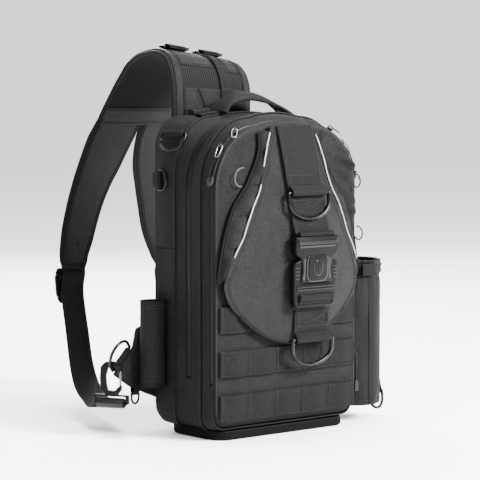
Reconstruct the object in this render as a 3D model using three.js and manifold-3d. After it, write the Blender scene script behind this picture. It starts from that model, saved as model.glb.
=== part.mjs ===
// A sling bag for fishing tackle: a tall soft body with a zipped main compartment, a front compartment,
// a bulged front tongue pocket with gathered sides, rows of load webbing, a centre strap with a
// side-release buckle and two D-rings, a rod holster, a bottle pocket, and a wide shoulder yoke that
// splits into two straps hooked to wings at the lower corners.
// Millimetres, +Z up, the front faces -Y, and the origin is at the middle of the underside of the base.
import * as THREE from 'three';
import { mergeVertices } from 'three/addons/utils/BufferGeometryUtils.js';
import Module from 'manifold-3d';

const wasm = await Module();
wasm.setup();

// Clearances and cloth thicknesses
const gap = 0.3;
const ring_clearance = 0.6;
const shell_wall = 2.2;
const panel_wall = 2.2;
const cloth_wall = 1.8;
const webbing_thickness = 1.8;

// Body of the bag
const body_width = 240;
const body_height = 406;
const rear_band = 44;
const zip_band = 52;
const front_band = 29;
const bottom_corner = 18;
const top_crown = 6;
const main_zip_setback = 25.5;
const main_zip_width = 12;
const front_zip_setback = 9;
const front_zip_width = 7;
const zip_recess = 0.8;
const front_crown = 6;
const piping_radius = 1.4;

// Base skid and back pad
const skid_height = 11.7;
const skid_width = 224;
const skid_front_margin = 4;
const skid_front_corner = 22;
const skid_rear_corner = 42;
const back_pad_width = 206;
const back_pad_height = 372;
const back_pad_thickness = 13;
const back_pad_corner = 34;
const back_pad_raise = 8;

// Load webbing on the front
const molle_height = 34;
const molle_first = 26.5;
const molle_pitch = 57;
const molle_rows = 3;
const molle_cells = 5;
const molle_arch = 2.2;

// Tongue flap and its gathered sides
const flap_height = 283;
const flap_bottom = 122;
const flap_lift = 26;
const gather_depth = 4;
const gather_folds = 5;
const flap_piping_radius = 1.7;
const zip_welt_width = 8;

// Centre strap, D-rings and buckle
const centre_webbing = 60;
const centre_lean = 0.075;
const centre_shift = 2;
const upper_ring_height = 318;
const buckle_top = 262;
const buckle_width = 74;
const buckle_length = 92;
const buckle_thickness = 12;
const buckle_wall = 4;
const lower_tab_top = 166;
const lower_ring_height = 126;
const front_ring_depth = 34;
const front_ring_wire = 2.6;
const small_ring_wire = 1.7;
const upper_tab_width = 32;
const upper_tab_depth = 24;
const lower_tab_width = 20;
const lower_tab_depth = 15;
const pocket_tab_width = 22;
const pocket_tab_depth = 26;

// Rod holster and bottle pocket
const holster_radius = 16.5;
const holster_bottom = 64;
const holster_length = 112;
const holster_back_offset = 17.5;
const holster_panel_width = 40;
const holster_panel_height = 206;
const pocket_radius = 38;
const pocket_bottom = 22;
const pocket_height = 196;
const pocket_bulge = 34;
const pocket_setback = -22;

// Handle, yoke and straps
const handle_span = 132;
const handle_rise = 34;
const handle_width = 34;
const handle_thickness = 4;
const handle_shift = 20;
const handle_setback = 26;
const yoke_thickness = 12;
const strap_thickness = 9;
const strap_reach = 236;
const strap_top = 491;
const yoke_width = 150;
const strap_webbing = 38;
const webbing_low_point = 30;
const slider_height = 34;
const slider_width = 46;
const slider_thickness = 5;
const wing_span = 72;
const wing_height = 112;
const wing_bottom = 38;
const wing_thickness = 7;
const wing_edge = 1.5;
const wing_ring_width = 40;
const wing_ring_depth = 28;
const hook_height = 34;
const hook_width = 30;
const hook_thickness = 6.5;
const hook_limb = 5;
const hook_eye_height = 12;
const gate_radius = 1.4;

// Places that follow from the sizes
const half_width = body_width / 2;
const body_depth = rear_band + zip_band + front_band;
const back_y = body_depth / 2;
const front_y = -body_depth / 2;
const rear_seam_y = back_y - rear_band;
const front_seam_y = rear_seam_y - zip_band;
const main_zip_y = rear_seam_y - main_zip_setback;
const front_zip_y = front_y + front_zip_setback;
const bottom_z = skid_height + gap;
const top_z = bottom_z + body_height;
const middle_z = bottom_z + body_height / 2;
const left_x = -half_width;
const pad_back_y = back_y + gap + back_pad_thickness;

// Materials
const paint = (color, roughness, metalness) => (
  new THREE.MeshStandardMaterial({ color, roughness, metalness })
);
const nylon = () => paint('#3b3b3e', 0.9, 0);
const mesh_cloth = () => paint('#2a2a2c', 0.95, 0);
const webbing = () => paint('#353538', 0.85, 0);
const plastic = () => paint('#202023', 0.45, 0);
const steel = () => paint('#77797c', 0.35, 0.9);
const silver_piping = () => paint('#b9bcc0', 0.35, 0.2);

const bag = new THREE.Group();

function add(name, geometry, material) {
  const mesh = new THREE.Mesh(geometry, material);
  mesh.name = name;
  bag.add(mesh);
  return mesh;
}

const vec = (x, y, z) => new THREE.Vector3(x, y, z);
const mix = (a, b, t) => a + (b - a) * t;
const steps = (count) => Array.from({ length: count + 1 }, (_, i) => i / count);

// Solids that are one piece on the real bag are joined into one
function joined(...geometries) {
  const solids = geometries.map((geometry) => {
    const bare = geometry.clone();
    bare.deleteAttribute('normal');
    bare.deleteAttribute('uv');
    const merged = mergeVertices(bare, 0.001);
    return new wasm.Manifold(new wasm.Mesh({
      numProp: 3,
      vertProperties: Float32Array.from(merged.getAttribute('position').array),
      triVerts: Uint32Array.from(merged.index.array),
    }));
  });
  const mesh = solids.reduce((sum, next) => sum.add(next)).getMesh();
  const geometry = new THREE.BufferGeometry();
  geometry.setAttribute('position', new THREE.BufferAttribute(mesh.vertProperties, 3));
  geometry.setIndex(new THREE.BufferAttribute(mesh.triVerts, 1));
  return geometry;
}

// A closed mesh from points and triangles, turned so that its faces point out
function solid(points, triangles) {
  let volume = 0;
  for (const [a, b, c] of triangles) {
    volume += points[a].dot(new THREE.Vector3().crossVectors(points[b], points[c]));
  }
  const index = triangles.flatMap(([a, b, c]) => (volume < 0 ? [a, c, b] : [a, b, c]));
  const geometry = new THREE.BufferGeometry().setFromPoints(points);
  geometry.setIndex(index);
  return mergeVertices(geometry);
}

// Loops of equal count joined in a row; the ends close on their middle points, or the row closes on itself
function loft(loops, ring = false) {
  const count = loops[0].length;
  const points = loops.flat();
  const triangles = [];
  const rows = ring ? loops.length : loops.length - 1;
  for (let row = 0; row < rows; row += 1) {
    const next = ((row + 1) % loops.length) * count;
    for (let i = 0; i < count; i += 1) {
      const j = (i + 1) % count;
      const a = row * count + i;
      const b = row * count + j;
      triangles.push([a, b, next + j], [a, next + j, next + i]);
    }
  }
  if (!ring) {
    [[0, 1], [loops.length - 1, -1]].forEach(([row, turn]) => {
      const centre = loops[row].reduce((sum, p) => sum.add(p), vec(0, 0, 0)).divideScalar(count);
      const pole = points.push(centre) - 1;
      for (let i = 0; i < count; i += 1) {
        const a = row * count + i;
        const b = row * count + ((i + 1) % count);
        triangles.push(turn > 0 ? [pole, b, a] : [pole, a, b]);
      }
    });
  }
  return solid(points, triangles);
}

// Two grids of points, rows by columns, closed round their edges; wrapped grids make an open tube
function slab(front, back, wrapped = false) {
  const rows = front.length;
  const columns = front[0].length;
  const points = [...front.flat(), ...back.flat()];
  const offset = rows * columns;
  const triangles = [];
  const quad = (a, b, c, d) => triangles.push([a, b, c], [a, c, d]);
  const at = (r, c) => r * columns + (c % columns);
  const last = wrapped ? columns : columns - 1;
  for (let r = 0; r + 1 < rows; r += 1) {
    for (let c = 0; c < last; c += 1) {
      quad(at(r, c), at(r, c + 1), at(r + 1, c + 1), at(r + 1, c));
      quad(offset + at(r, c), offset + at(r + 1, c), offset + at(r + 1, c + 1), offset + at(r, c + 1));
    }
    if (!wrapped) {
      quad(at(r, 0), at(r + 1, 0), offset + at(r + 1, 0), offset + at(r, 0));
      quad(at(r, last), offset + at(r, last), offset + at(r + 1, last), at(r + 1, last));
    }
  }
  for (let c = 0; c < last; c += 1) {
    quad(at(0, c), offset + at(0, c), offset + at(0, c + 1), at(0, c + 1));
    quad(at(rows - 1, c), at(rows - 1, c + 1), offset + at(rows - 1, c + 1), offset + at(rows - 1, c));
  }
  return solid(points, triangles);
}

// A round bar along a closed flat path of [u, v] points; the circle's second axis is the local Y axis
function wireRing(path, radius, sides) {
  const loops = path.map(([u, v], i) => {
    const before = path[(i + path.length - 1) % path.length];
    const after = path[(i + 1) % path.length];
    const along = vec(after[0] - before[0], 0, after[1] - before[1]).normalize();
    const out = vec(along.z, 0, -along.x);
    return steps(sides).slice(1).map((t) => {
      const angle = t * 2 * Math.PI;
      return vec(u, 0, v).addScaledVector(out, radius * Math.cos(angle))
        .add(vec(0, radius * Math.sin(angle), 0));
    });
  });
  return loft(loops, true);
}

// A D: a straight bar centred on the origin, with its bow hanging towards -Z
function ringPath(width, depth, bow) {
  const half = width / 2;
  const path = [[half, 0]];
  path.push([-half, 0]);
  const side = depth * 0.35;
  steps(bow).forEach((t) => {
    const angle = Math.PI * (1 - t);
    path.push([half * Math.cos(angle), -side - (depth - side) * Math.sin(angle)]);
  });
  return path;
}

// A webbing loop round a bar along local X: a teardrop with a hole, whose tail runs up local Z
function barLoop(width, bar_radius, tail, lean = 0) {
  const inner = bar_radius + ring_clearance;
  const outer = inner + webbing_thickness;
  const shape = new THREE.Shape();
  const mouth = 0.6;
  const arc = (radius, from, to, count) => steps(count).map((t) => {
    const angle = mix(from, to, t);
    return new THREE.Vector2(radius * Math.sin(angle), -radius * Math.cos(angle));
  });
  const bowl = arc(outer, -Math.PI + mouth, Math.PI - mouth, 10);
  const tip = [
    new THREE.Vector2(lean + webbing_thickness, outer + tail),
    new THREE.Vector2(lean - webbing_thickness, outer + tail),
  ];
  shape.setFromPoints([...bowl, ...tip]);
  shape.holes.push(new THREE.Path(arc(inner, 0, 2 * Math.PI, 8).slice(0, -1)));
  const geometry = new THREE.ExtrudeGeometry(shape, { depth: width, bevelEnabled: false, steps: 1 });
  geometry.translate(0, 0, -width / 2);
  geometry.applyMatrix4(new THREE.Matrix4().makeBasis(vec(0, 1, 0), vec(0, 0, 1), vec(1, 0, 0)));
  return geometry;
}

// Sets a mesh at a point with its local X along bar and its local Z as near to up as it can be
function place(mesh, point, bar, up) {
  const x = bar.clone().normalize();
  const z = up.clone().addScaledVector(x, -up.dot(x)).normalize();
  const y = new THREE.Vector3().crossVectors(z, x);
  mesh.quaternion.setFromRotationMatrix(new THREE.Matrix4().makeBasis(x, y, z));
  mesh.position.copy(point);
  return mesh;
}

// A flat or padded band along a path; each row gives a point, its width direction, width and thickness
function band(rows, edge_share = 1) {
  const loops = rows.map((row, i) => {
    const before = rows[Math.max(i - 1, 0)].point;
    const after = rows[Math.min(i + 1, rows.length - 1)].point;
    const along = after.clone().sub(before).normalize();
    const across = row.across.clone().normalize();
    const out = new THREE.Vector3().crossVectors(along, across).normalize();
    const corner = (u, v) => row.point.clone().addScaledVector(across, u * row.width / 2)
      .addScaledVector(out, v * row.thickness / 2);
    if (edge_share === 1) {
      return [corner(-1, -1), corner(1, -1), corner(1, 1), corner(-1, 1)];
    }
    const inset = 0.82;
    return [corner(-1, -edge_share), corner(-inset, -1), corner(0, -1), corner(inset, -1),
      corner(1, -edge_share), corner(1, edge_share), corner(inset, 1), corner(0, 1),
      corner(-inset, 1), corner(-1, edge_share)];
  });
  return loft(loops);
}

// Sections of the body from back to front, as shares: of the depth (at), of the height (top, corner_z,
// lift, lean) and of the half width (corner_x). The rear top leans up to the left, as worn bags do.
const section_table = [
  { at: 0, top: 0.997, corner_x: 0.34, corner_z: 0.11, lift: 0.012, lean: 0.017 },
  { at: 0.06, top: 1, corner_x: 0.36, corner_z: 0.12, lift: 0, lean: 0.016 },
  { at: 0.352, top: 1, corner_x: 0.5, corner_z: 0.17, lift: 0, lean: 0.008 },
  { at: 0.556, top: 0.997, corner_x: 0.65, corner_z: 0.23, lift: 0, lean: 0 },
  { at: 0.768, top: 1, corner_x: 0.62, corner_z: 0.21, lift: 0, lean: 0 },
  { at: 0.9, top: 0.989, corner_x: 0.61, corner_z: 0.2, lift: 0.004, lean: 0 },
  { at: 1, top: 0.974, corner_x: 0.6, corner_z: 0.195, lift: 0.03, lean: 0 },
];

function sectionAt(y) {
  const share = THREE.MathUtils.clamp((back_y - y) / body_depth, 0, 1);
  const next = Math.max(1, section_table.findIndex((row) => row.at >= share));
  const a = section_table[next - 1];
  const b = section_table[next];
  const t = (share - a.at) / (b.at - a.at);
  return Object.fromEntries(Object.keys(a).map((key) => [key, mix(a[key], b[key], t)]));
}

// The outline of the body at a depth, inset by a distance, as a loop of [x, z]
function outline(y, inset) {
  const row = sectionAt(y);
  const half = half_width - inset;
  const low = bottom_z + row.lift * body_height + inset;
  const high = bottom_z + row.top * body_height - inset;
  const small = Math.max(bottom_corner - inset, 1);
  const wide = row.corner_x * half_width - inset;
  const tall = row.corner_z * body_height - inset;
  const shoulder = high - top_crown;
  const flat = half - wide;
  const right = [];
  steps(2).forEach((t) => right.push([mix(0, half - small, t), low]));
  steps(3).slice(1).forEach((t) => {
    const angle = t * Math.PI / 2;
    right.push([half - small + small * Math.sin(angle), low + small - small * Math.cos(angle)]);
  });
  steps(4).slice(1).forEach((t) => right.push([half, mix(low + small, shoulder - tall, t)]));
  steps(6).slice(1).forEach((t) => {
    const angle = t * Math.PI / 2;
    right.push([flat + wide * Math.cos(angle), shoulder - tall + tall * Math.sin(angle)]);
  });
  steps(3).slice(1).forEach((t) => {
    const x = mix(flat, 0, t);
    right.push([x, high - top_crown * (x / flat) ** 2]);
  });
  const left = right.slice(1, -1).reverse().map(([x, z]) => [-x, z]);
  const lean = (x, z) => z - row.lean * body_height * (x / half_width) * ((z - low) / (high - low)) ** 2;
  return [...right, ...left].map(([x, z]) => [x, lean(x, z)]);
}

// The outline as points at a depth, drawn towards the middle of the panel by a share
function hoop(y, inset, share = 1, section_y = y) {
  return outline(section_y, inset).map(([x, z]) => vec(x * share, y, mix(middle_z, z, share)));
}

// A band of the body between two depths
function bodyRing(from_y, to_y, inset) {
  return loft([hoop(from_y, inset), hoop(to_y, inset), hoop(to_y, inset + shell_wall),
    hoop(from_y, inset + shell_wall)], true);
}

// The welt of a seam: a thin cord just outside the outline, from one bottom corner over to the other
function seamPiping(y) {
  const sides = 4;
  const first = 5;
  const lines = steps(sides).slice(1).map((t) => {
    const angle = t * 2 * Math.PI;
    const inset = -(gap + piping_radius * (1.15 + Math.cos(angle)));
    const line = hoop(y + piping_radius * Math.sin(angle), inset, 1, y);
    return line.slice(first, line.length - first + 1);
  });
  return loft(lines[0].map((_, i) => lines.map((line) => line[i])));
}

// Shells of the main compartment, zipped together
const rear_rim_y = main_zip_y + main_zip_width / 2;
const main_rim_y = main_zip_y - main_zip_width / 2;
const rounded_back_y = back_y - 0.06 * body_depth;
add('rear_shell', loft([
  hoop(back_y - shell_wall, shell_wall + gap, 0.5, back_y),
  hoop(back_y - shell_wall, shell_wall + gap, 1, back_y),
  hoop(rear_seam_y, shell_wall),
  hoop(rear_rim_y, shell_wall),
  hoop(rear_rim_y, 0),
  hoop(rear_seam_y, 0),
  hoop(rounded_back_y, 0),
  hoop(back_y, 0),
  hoop(back_y, 0, 0.5, back_y),
]), nylon());
add('main_zipper', bodyRing(rear_rim_y - gap, main_rim_y + gap, zip_recess), webbing());
add('main_shell', loft([
  hoop(front_seam_y + shell_wall, shell_wall, 0.5),
  hoop(front_seam_y + shell_wall, shell_wall),
  hoop(main_rim_y, shell_wall),
  hoop(main_rim_y, 0),
  hoop(front_seam_y, 0),
  hoop(front_seam_y, 0, 0.5),
]), nylon());

// Front compartment
const front_zip_back_y = front_zip_y + front_zip_width / 2;
const front_zip_front_y = front_zip_y - front_zip_width / 2;
add('front_gusset', bodyRing(front_seam_y - gap, front_zip_back_y, 0), nylon());
add('front_zipper', bodyRing(front_zip_back_y - gap, front_zip_front_y + gap, zip_recess), webbing());
const crown_rows = [
  { share: 1, crown: 0 },
  { share: 0.93, crown: 0.35 },
  { share: 0.75, crown: 0.75 },
  { share: 0.4, crown: 1 },
];
const front_outside = crown_rows.map((row) => (
  hoop(front_y - row.crown * front_crown, 0, row.share, front_y)
));
const front_inside = crown_rows.map((row) => hoop(
  front_y + panel_wall - row.crown * front_crown,
  panel_wall,
  row.share,
  front_y,
));
const front_panel = add('front_panel', loft([
  ...front_inside.reverse(),
  hoop(front_zip_front_y, panel_wall),
  hoop(front_zip_front_y, 0),
  ...front_outside,
]), nylon());
add('rear_piping', seamPiping(rear_seam_y), nylon());
add('front_piping', seamPiping(front_seam_y), nylon());

// Depth of the front panel's skin at a place, found on the panel itself
const probe = new THREE.Raycaster();
front_panel.material.side = THREE.DoubleSide;
front_panel.updateMatrixWorld();
function skinY(x, z) {
  const limit_x = THREE.MathUtils.clamp(x, -half_width + 1, half_width - 1);
  probe.set(vec(limit_x, front_y - body_depth, z), vec(0, 1, 0));
  const hit = probe.intersectObject(front_panel)[0];
  return hit ? hit.point.y : front_y;
}

// Base skid and back pad
function roundedPad(corners, thickness, edge) {
  const shape = new THREE.Shape();
  corners.forEach(({ x, y, r, from }, i) => {
    if (i === 0) {
      shape.moveTo(x + r * Math.cos(from), y + r * Math.sin(from));
    }
    shape.absarc(x, y, r, from, from + Math.PI / 2, false);
  });
  const geometry = new THREE.ExtrudeGeometry(shape, {
    depth: thickness - 2 * edge,
    bevelThickness: edge,
    bevelSize: edge,
    bevelOffset: -edge,
    bevelSegments: 1,
    curveSegments: 5,
  });
  return geometry.translate(0, 0, edge);
}
const quarter = Math.PI / 2;
const skid_front_y = front_y + skid_front_margin;
const skid_half = skid_width / 2;
const skid_edge = 3;
const skid_rear = { x: skid_half - skid_rear_corner, y: back_y - skid_rear_corner, r: skid_rear_corner };
const skid_front = {
  x: skid_half - skid_front_corner,
  y: skid_front_y + skid_front_corner,
  r: skid_front_corner,
};
add('base_skid', roundedPad([
  { ...skid_rear, from: 0 },
  { ...skid_rear, x: -skid_rear.x, from: quarter },
  { ...skid_front, x: -skid_front.x, from: 2 * quarter },
  { ...skid_front, from: 3 * quarter },
], skid_height, skid_edge), nylon());

const pad_x = back_pad_width / 2 - back_pad_corner;
const pad_z = back_pad_height / 2 - back_pad_corner;
const pad_edge = 4;
const back_pad = add('back_pad', roundedPad([
  { x: pad_x, y: pad_z, r: back_pad_corner, from: 0 },
  { x: -pad_x, y: pad_z, r: back_pad_corner, from: quarter },
  { x: -pad_x, y: -pad_z, r: back_pad_corner, from: 2 * quarter },
  { x: pad_x, y: -pad_z, r: back_pad_corner, from: 3 * quarter },
], back_pad_thickness, pad_edge), mesh_cloth());
back_pad.rotation.x = Math.PI / 2;
back_pad.position.set(0, pad_back_y, bottom_z + back_pad_raise + back_pad_height / 2);

// The foremost skin round a place, which flat pieces laid on the crowned panel clear
function clearY(x, z) {
  const reach = 6;
  const near = [-reach, 0, reach].flatMap((dx) => [-reach, 0, reach].map((dz) => skinY(x + dx, z + dz)));
  return Math.min(...near);
}

// Rows of load webbing, arched a little between their bar tacks
function molleRow(low) {
  const reach = half_width - 4;
  const columns = steps(molle_cells * 4);
  const middle = low + molle_height / 2;
  const grid = (offset) => [low, low + molle_height].map((z) => columns.map((t) => {
    const x = mix(-reach, reach, t);
    const arch = molle_arch * Math.sin(Math.PI * molle_cells * t) ** 2;
    return vec(x, Math.min(clearY(x, z), clearY(x, middle)) - gap - arch - offset, z);
  }));
  return slab(grid(webbing_thickness), grid(0));
}
steps(molle_rows - 1).forEach((_, i) => {
  add(`load_webbing_${i + 1}`, molleRow(molle_first + i * molle_pitch), webbing());
});

// Tongue flap rows from top to bottom: at is a share of flap_height, half of the body's half width,
// welt the same for the zip welt beside it, middle and edge are shares of flap_lift
const flap_table = [
  { at: 0, half: 0.29, welt: 0.42, middle: 0.3, edge: 0.26 },
  { at: 0.08, half: 0.35, welt: 0.42, middle: 0.42, edge: 0.3 },
  { at: 0.25, half: 0.47, welt: 0.58, middle: 0.7, edge: 0.42 },
  { at: 0.38, half: 0.61, welt: 0.8, middle: 0.88, edge: 0.5 },
  { at: 0.5, half: 0.74, welt: 0.9, middle: 0.98, edge: 0.5 },
  { at: 0.6, half: 0.86, welt: 0.95, middle: 1, edge: 0.46 },
  { at: 0.72, half: 0.95, welt: 0.985, middle: 0.94, edge: 0.36 },
  { at: 0.79, half: 0.9, welt: 0.985, middle: 0.86, edge: 0.35 },
  { at: 0.855, half: 0.77, welt: 0.985, middle: 0.76, edge: 0.35 },
  { at: 0.936, half: 0.52, welt: 0.985, middle: 0.6, edge: 0.35 },
  { at: 0.98, half: 0.3, welt: 0.985, middle: 0.48, edge: 0.35 },
  { at: 1, half: 0.12, welt: 0.985, middle: 0.4, edge: 0.35 },
];

function flapRow(z) {
  const share = THREE.MathUtils.clamp((flap_bottom + flap_height - z) / flap_height, 0, 1);
  const next = Math.max(1, flap_table.findIndex((row) => row.at >= share));
  const a = flap_table[next - 1];
  const b = flap_table[next];
  const t = (share - a.at) / (b.at - a.at);
  return Object.fromEntries(Object.keys(a).map((key) => [key, mix(a[key], b[key], t)]));
}

// Depth of the flap's outer face
function flapY(x, z) {
  const row = flapRow(z);
  const u = THREE.MathUtils.clamp(x / (row.half * half_width), -1, 1);
  const lift = mix(row.edge, row.middle, 1 - u ** 2) * flap_lift;
  return clearY(x, z) - lift;
}
const flap_rows = flap_table.map((row) => row.at);
const flapGrid = (depth) => flap_rows.map((share) => {
  const z = flap_bottom + flap_height * (1 - share);
  const half = flapRow(z).half * half_width;
  return steps(10).map((t) => {
    const x = mix(-half, half, t);
    return vec(x, flapY(x, z) + depth, z);
  });
});
add('tongue_flap', slab(flapGrid(0), flapGrid(cloth_wall)), nylon());

// Gathered gusset on one side, tucked under the flap's edge, with its zip welt at the far side
function gusset(side) {
  const rows = steps(16).map((t) => mix(0.03, 0.7, t));
  const grid = (depth) => rows.map((share) => {
    const z = flap_bottom + flap_height * (1 - share);
    const row = flapRow(z);
    const inner = row.half * half_width - flap_piping_radius - 2;
    const outer = Math.max(row.welt * half_width, inner + zip_welt_width * 0.6);
    const fold = gather_depth * Math.sin(2 * Math.PI * gather_folds * share / 0.7);
    return steps(3).map((u) => {
      const x = mix(inner, outer, u);
      const start = flapY(inner, z) + cloth_wall + 4 * gap;
      const end = clearY(x, z) - gap - cloth_wall;
      const wave = fold * Math.sin(Math.PI * u) * 0.5;
      const y = Math.min(mix(start, end, u ** 0.8) + wave, end);
      return vec(side * x, Math.max(y, start) + depth, z);
    });
  });
  return slab(grid(0), grid(cloth_wall));
}

// Reflective piping along one edge of the flap
function flapPiping(side) {
  const points = steps(14).map((t) => {
    const z = flap_bottom + flap_height * (1 - mix(0.01, 0.7, t));
    const x = side * (flapRow(z).half * half_width + gap + flap_piping_radius);
    return vec(x, flapY(x, z) + cloth_wall / 2 - flap_piping_radius, z);
  });
  const shape = new THREE.Shape().absarc(0, 0, flap_piping_radius, 0, 2 * Math.PI, false);
  return new THREE.ExtrudeGeometry(shape, {
    extrudePath: new THREE.CatmullRomCurve3(points),
    steps: 16,
    curveSegments: 3,
    bevelEnabled: false,
  });
}
[['left', -1], ['right', 1]].forEach(([name, side]) => {
  add(`flap_gusset_${name}`, gusset(side), nylon());
  add(`flap_piping_${name}`, flapPiping(side), silver_piping());
});

// Centre strap: its middle line leans to the right on the way down
const centreX = (z) => centre_shift + centre_lean * (flap_bottom + flap_height - z);
function centreWebbing(from_z, to_z, count, rise = () => 0) {
  const rows = steps(count).map((t) => ({ z: mix(from_z, to_z, t), lift: rise(t) }));
  const reach = 4;
  const grid = (depth) => rows.map(({ z, lift }) => steps(4).map((u) => {
    const middle = centreX(z);
    const x = middle + centre_webbing * (u - 0.5);
    const under = [-reach, 0, reach].map((dz) => flapY(x, z + dz));
    return vec(x, Math.min(...under, flapY(middle, z) + 1) - gap - lift - depth, z);
  }));
  return slab(grid(webbing_thickness), grid(0));
}
function frontBar(z, lift) {
  const foremost = Math.min(...steps(4).map((u) => flapY(centreX(z) + centre_webbing * (u - 0.5), z)));
  return vec(centreX(z), foremost - lift, z);
}
const loop_reach = front_ring_wire + ring_clearance + webbing_thickness;
const front_ring_width = centre_webbing + 2 * front_ring_wire + 3;
const ringUp = (z) => frontBar(z, 0).sub(frontBar(z - front_ring_depth, 0));
const loop_tail = 5;

function frontRing(name, z, bar_lift) {
  const path = ringPath(front_ring_width, front_ring_depth, 9);
  const ring = add(name, wireRing(path, front_ring_wire, 7), steel());
  place(ring, frontBar(z, bar_lift), vec(1, 0, 0), ringUp(z));
}
function ringWebbing(name, from_z, ring_z, bar_lift, count) {
  const loop = barLoop(centre_webbing, front_ring_wire, loop_tail, bar_lift - gap - webbing_thickness - 0.4);
  const loop_up = frontBar(ring_z + 3 * loop_tail, 0).sub(frontBar(ring_z, 0));
  placed(loop, frontBar(ring_z, bar_lift), vec(1, 0, 0), loop_up);
  add(name, joined(centreWebbing(from_z, ring_z + loop_reach, count), loop), webbing());
}
const upper_bar_lift = loop_reach + gap + 1.5;
ringWebbing('centre_webbing_top', flap_bottom + flap_height - 1, upper_ring_height, upper_bar_lift, 7);
frontRing('upper_d_ring', upper_ring_height, upper_bar_lift);
const lower_bar_lift = loop_reach + gap + 2;
ringWebbing('centre_webbing_low', lower_tab_top, lower_ring_height, lower_bar_lift, 3);
frontRing('lower_d_ring', lower_ring_height, lower_bar_lift);

// Side-release buckle, drawn in its own plane with the top bar at the origin and +Z up
function plate(outer, holes, thickness, edge = 0) {
  const shape = new THREE.Shape(outer.map(([x, z]) => new THREE.Vector2(x, z)));
  holes.forEach((hole) => shape.holes.push(new THREE.Path(hole.map(([x, z]) => new THREE.Vector2(x, z)))));
  const geometry = new THREE.ExtrudeGeometry(shape, {
    depth: thickness - 2 * edge,
    bevelEnabled: edge > 0,
    bevelThickness: edge,
    bevelSize: edge,
    bevelOffset: -edge,
    bevelSegments: 1,
    curveSegments: 6,
  });
  geometry.translate(0, 0, edge - thickness / 2);
  return geometry.applyMatrix4(new THREE.Matrix4().makeBasis(vec(1, 0, 0), vec(0, 0, 1), vec(0, -1, 0)));
}
const mirrorX = (points) => points.map(([x, z]) => [-x, z]).reverse();
const slot = (half, low, high) => [[-half, low], [half, low], [half, high], [-half, high]];
const buckle_half = buckle_width / 2;
const socket_length = 0.66 * buckle_length;
const arm_width = 0.1 * buckle_width;
const socket_waist = buckle_half - arm_width - 2;
const shoulder_z = -0.26 * buckle_length;
const socket_right = [
  [buckle_half, 0],
  [buckle_half, shoulder_z * 0.7],
  [buckle_half - 2, shoulder_z],
  [socket_waist, shoulder_z - 3],
  [socket_waist - 3, 0.5 * (shoulder_z - socket_length)],
  [socket_waist, -socket_length],
];
const strap_slot = centre_webbing / 2 + 1;
const buckle_bottom = buckle_top - buckle_length;
const bulge = Math.max(...steps(8).map((t) => mix(frontBar(buckle_top, 0).y, frontBar(buckle_bottom, 0).y, t)
  - frontBar(mix(buckle_top, buckle_bottom, t), 0).y));
const buckle_lift = gap + 1 + bulge + buckle_thickness / 2;
const front_plane = (z) => frontBar(z, buckle_lift);
const buckle_up = front_plane(buckle_top).sub(front_plane(buckle_bottom));
const socket = add('buckle_socket', plate(
  [...socket_right, ...mirrorX(socket_right)],
  [slot(strap_slot, -2 * buckle_wall, -buckle_wall)],
  buckle_thickness,
  1.5,
), plastic());
place(socket, front_plane(buckle_top), vec(1, 0, 0), buckle_up);
const arm_inner = socket_waist + 2 * gap;
const latch_z = shoulder_z - 5;
const latch_right = [
  [arm_inner + 1, latch_z],
  [buckle_half - 2, latch_z - 4],
  [buckle_half + 1, latch_z - 14],
  [buckle_half - 1, -socket_length - 2],
  [buckle_half, -socket_length - 6],
  [buckle_half - 2, -buckle_length + 4],
  [buckle_half - 6, -buckle_length],
];
const latch_left_arm = [
  [-buckle_half + 1, -socket_length - 2],
  [-buckle_half - 1, latch_z - 14],
  [-buckle_half + 2, latch_z - 4],
  [-arm_inner - 1, latch_z],
  [-arm_inner, -socket_length - 2 * gap],
];
const latch = add('buckle_latch', plate([
  [arm_inner, -socket_length - 2 * gap],
  ...latch_right,
  [-buckle_half + 6, -buckle_length],
  [-buckle_half + 2, -buckle_length + 4],
  [-buckle_half, -socket_length - 6],
  ...latch_left_arm,
], [slot(strap_slot - 2, -buckle_length + buckle_wall, -buckle_length + 3 * buckle_wall)],
buckle_thickness - 3, 1), plastic());
place(latch, front_plane(buckle_top), vec(1, 0, 0), buckle_up);
add('centre_webbing_middle', centreWebbing(
  upper_ring_height - loop_reach - 2 * gap,
  buckle_top + 2 * gap,
  5,
  (t) => (buckle_lift - buckle_thickness / 4) * t ** 3,
), webbing());

// Zipper sliders of the front compartment, on the left shoulder
const zip_slider_outline = [
  [-3.5, 4],
  [3.5, 4],
  [4.5, -4],
  [2, -5],
  [2, -16],
  [-2, -16],
  [-2, -5],
  [-4.5, -4],
];
const zip_slider_thickness = 3;
const zip_slider_edge = 0.6;
function zipSlider() {
  return plate(zip_slider_outline, [], zip_slider_thickness, zip_slider_edge);
}
const outside = new THREE.Raycaster();
function sideX(mesh, side, y, z) {
  mesh.material.side = THREE.DoubleSide;
  outside.set(vec(side * 2 * half_width, y, z), vec(-side, 0, 0));
  return outside.intersectObject(mesh)[0].point.x;
}
function roofZ(mesh, x, y) {
  mesh.material.side = THREE.DoubleSide;
  outside.set(vec(x, y, 2 * top_z), vec(0, 0, -1));
  return outside.intersectObject(mesh)[0].point.z;
}
const front_zipper = bag.getObjectByName('front_zipper');
const rear_shell = bag.getObjectByName('rear_shell');
bag.updateMatrixWorld(true);

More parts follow.
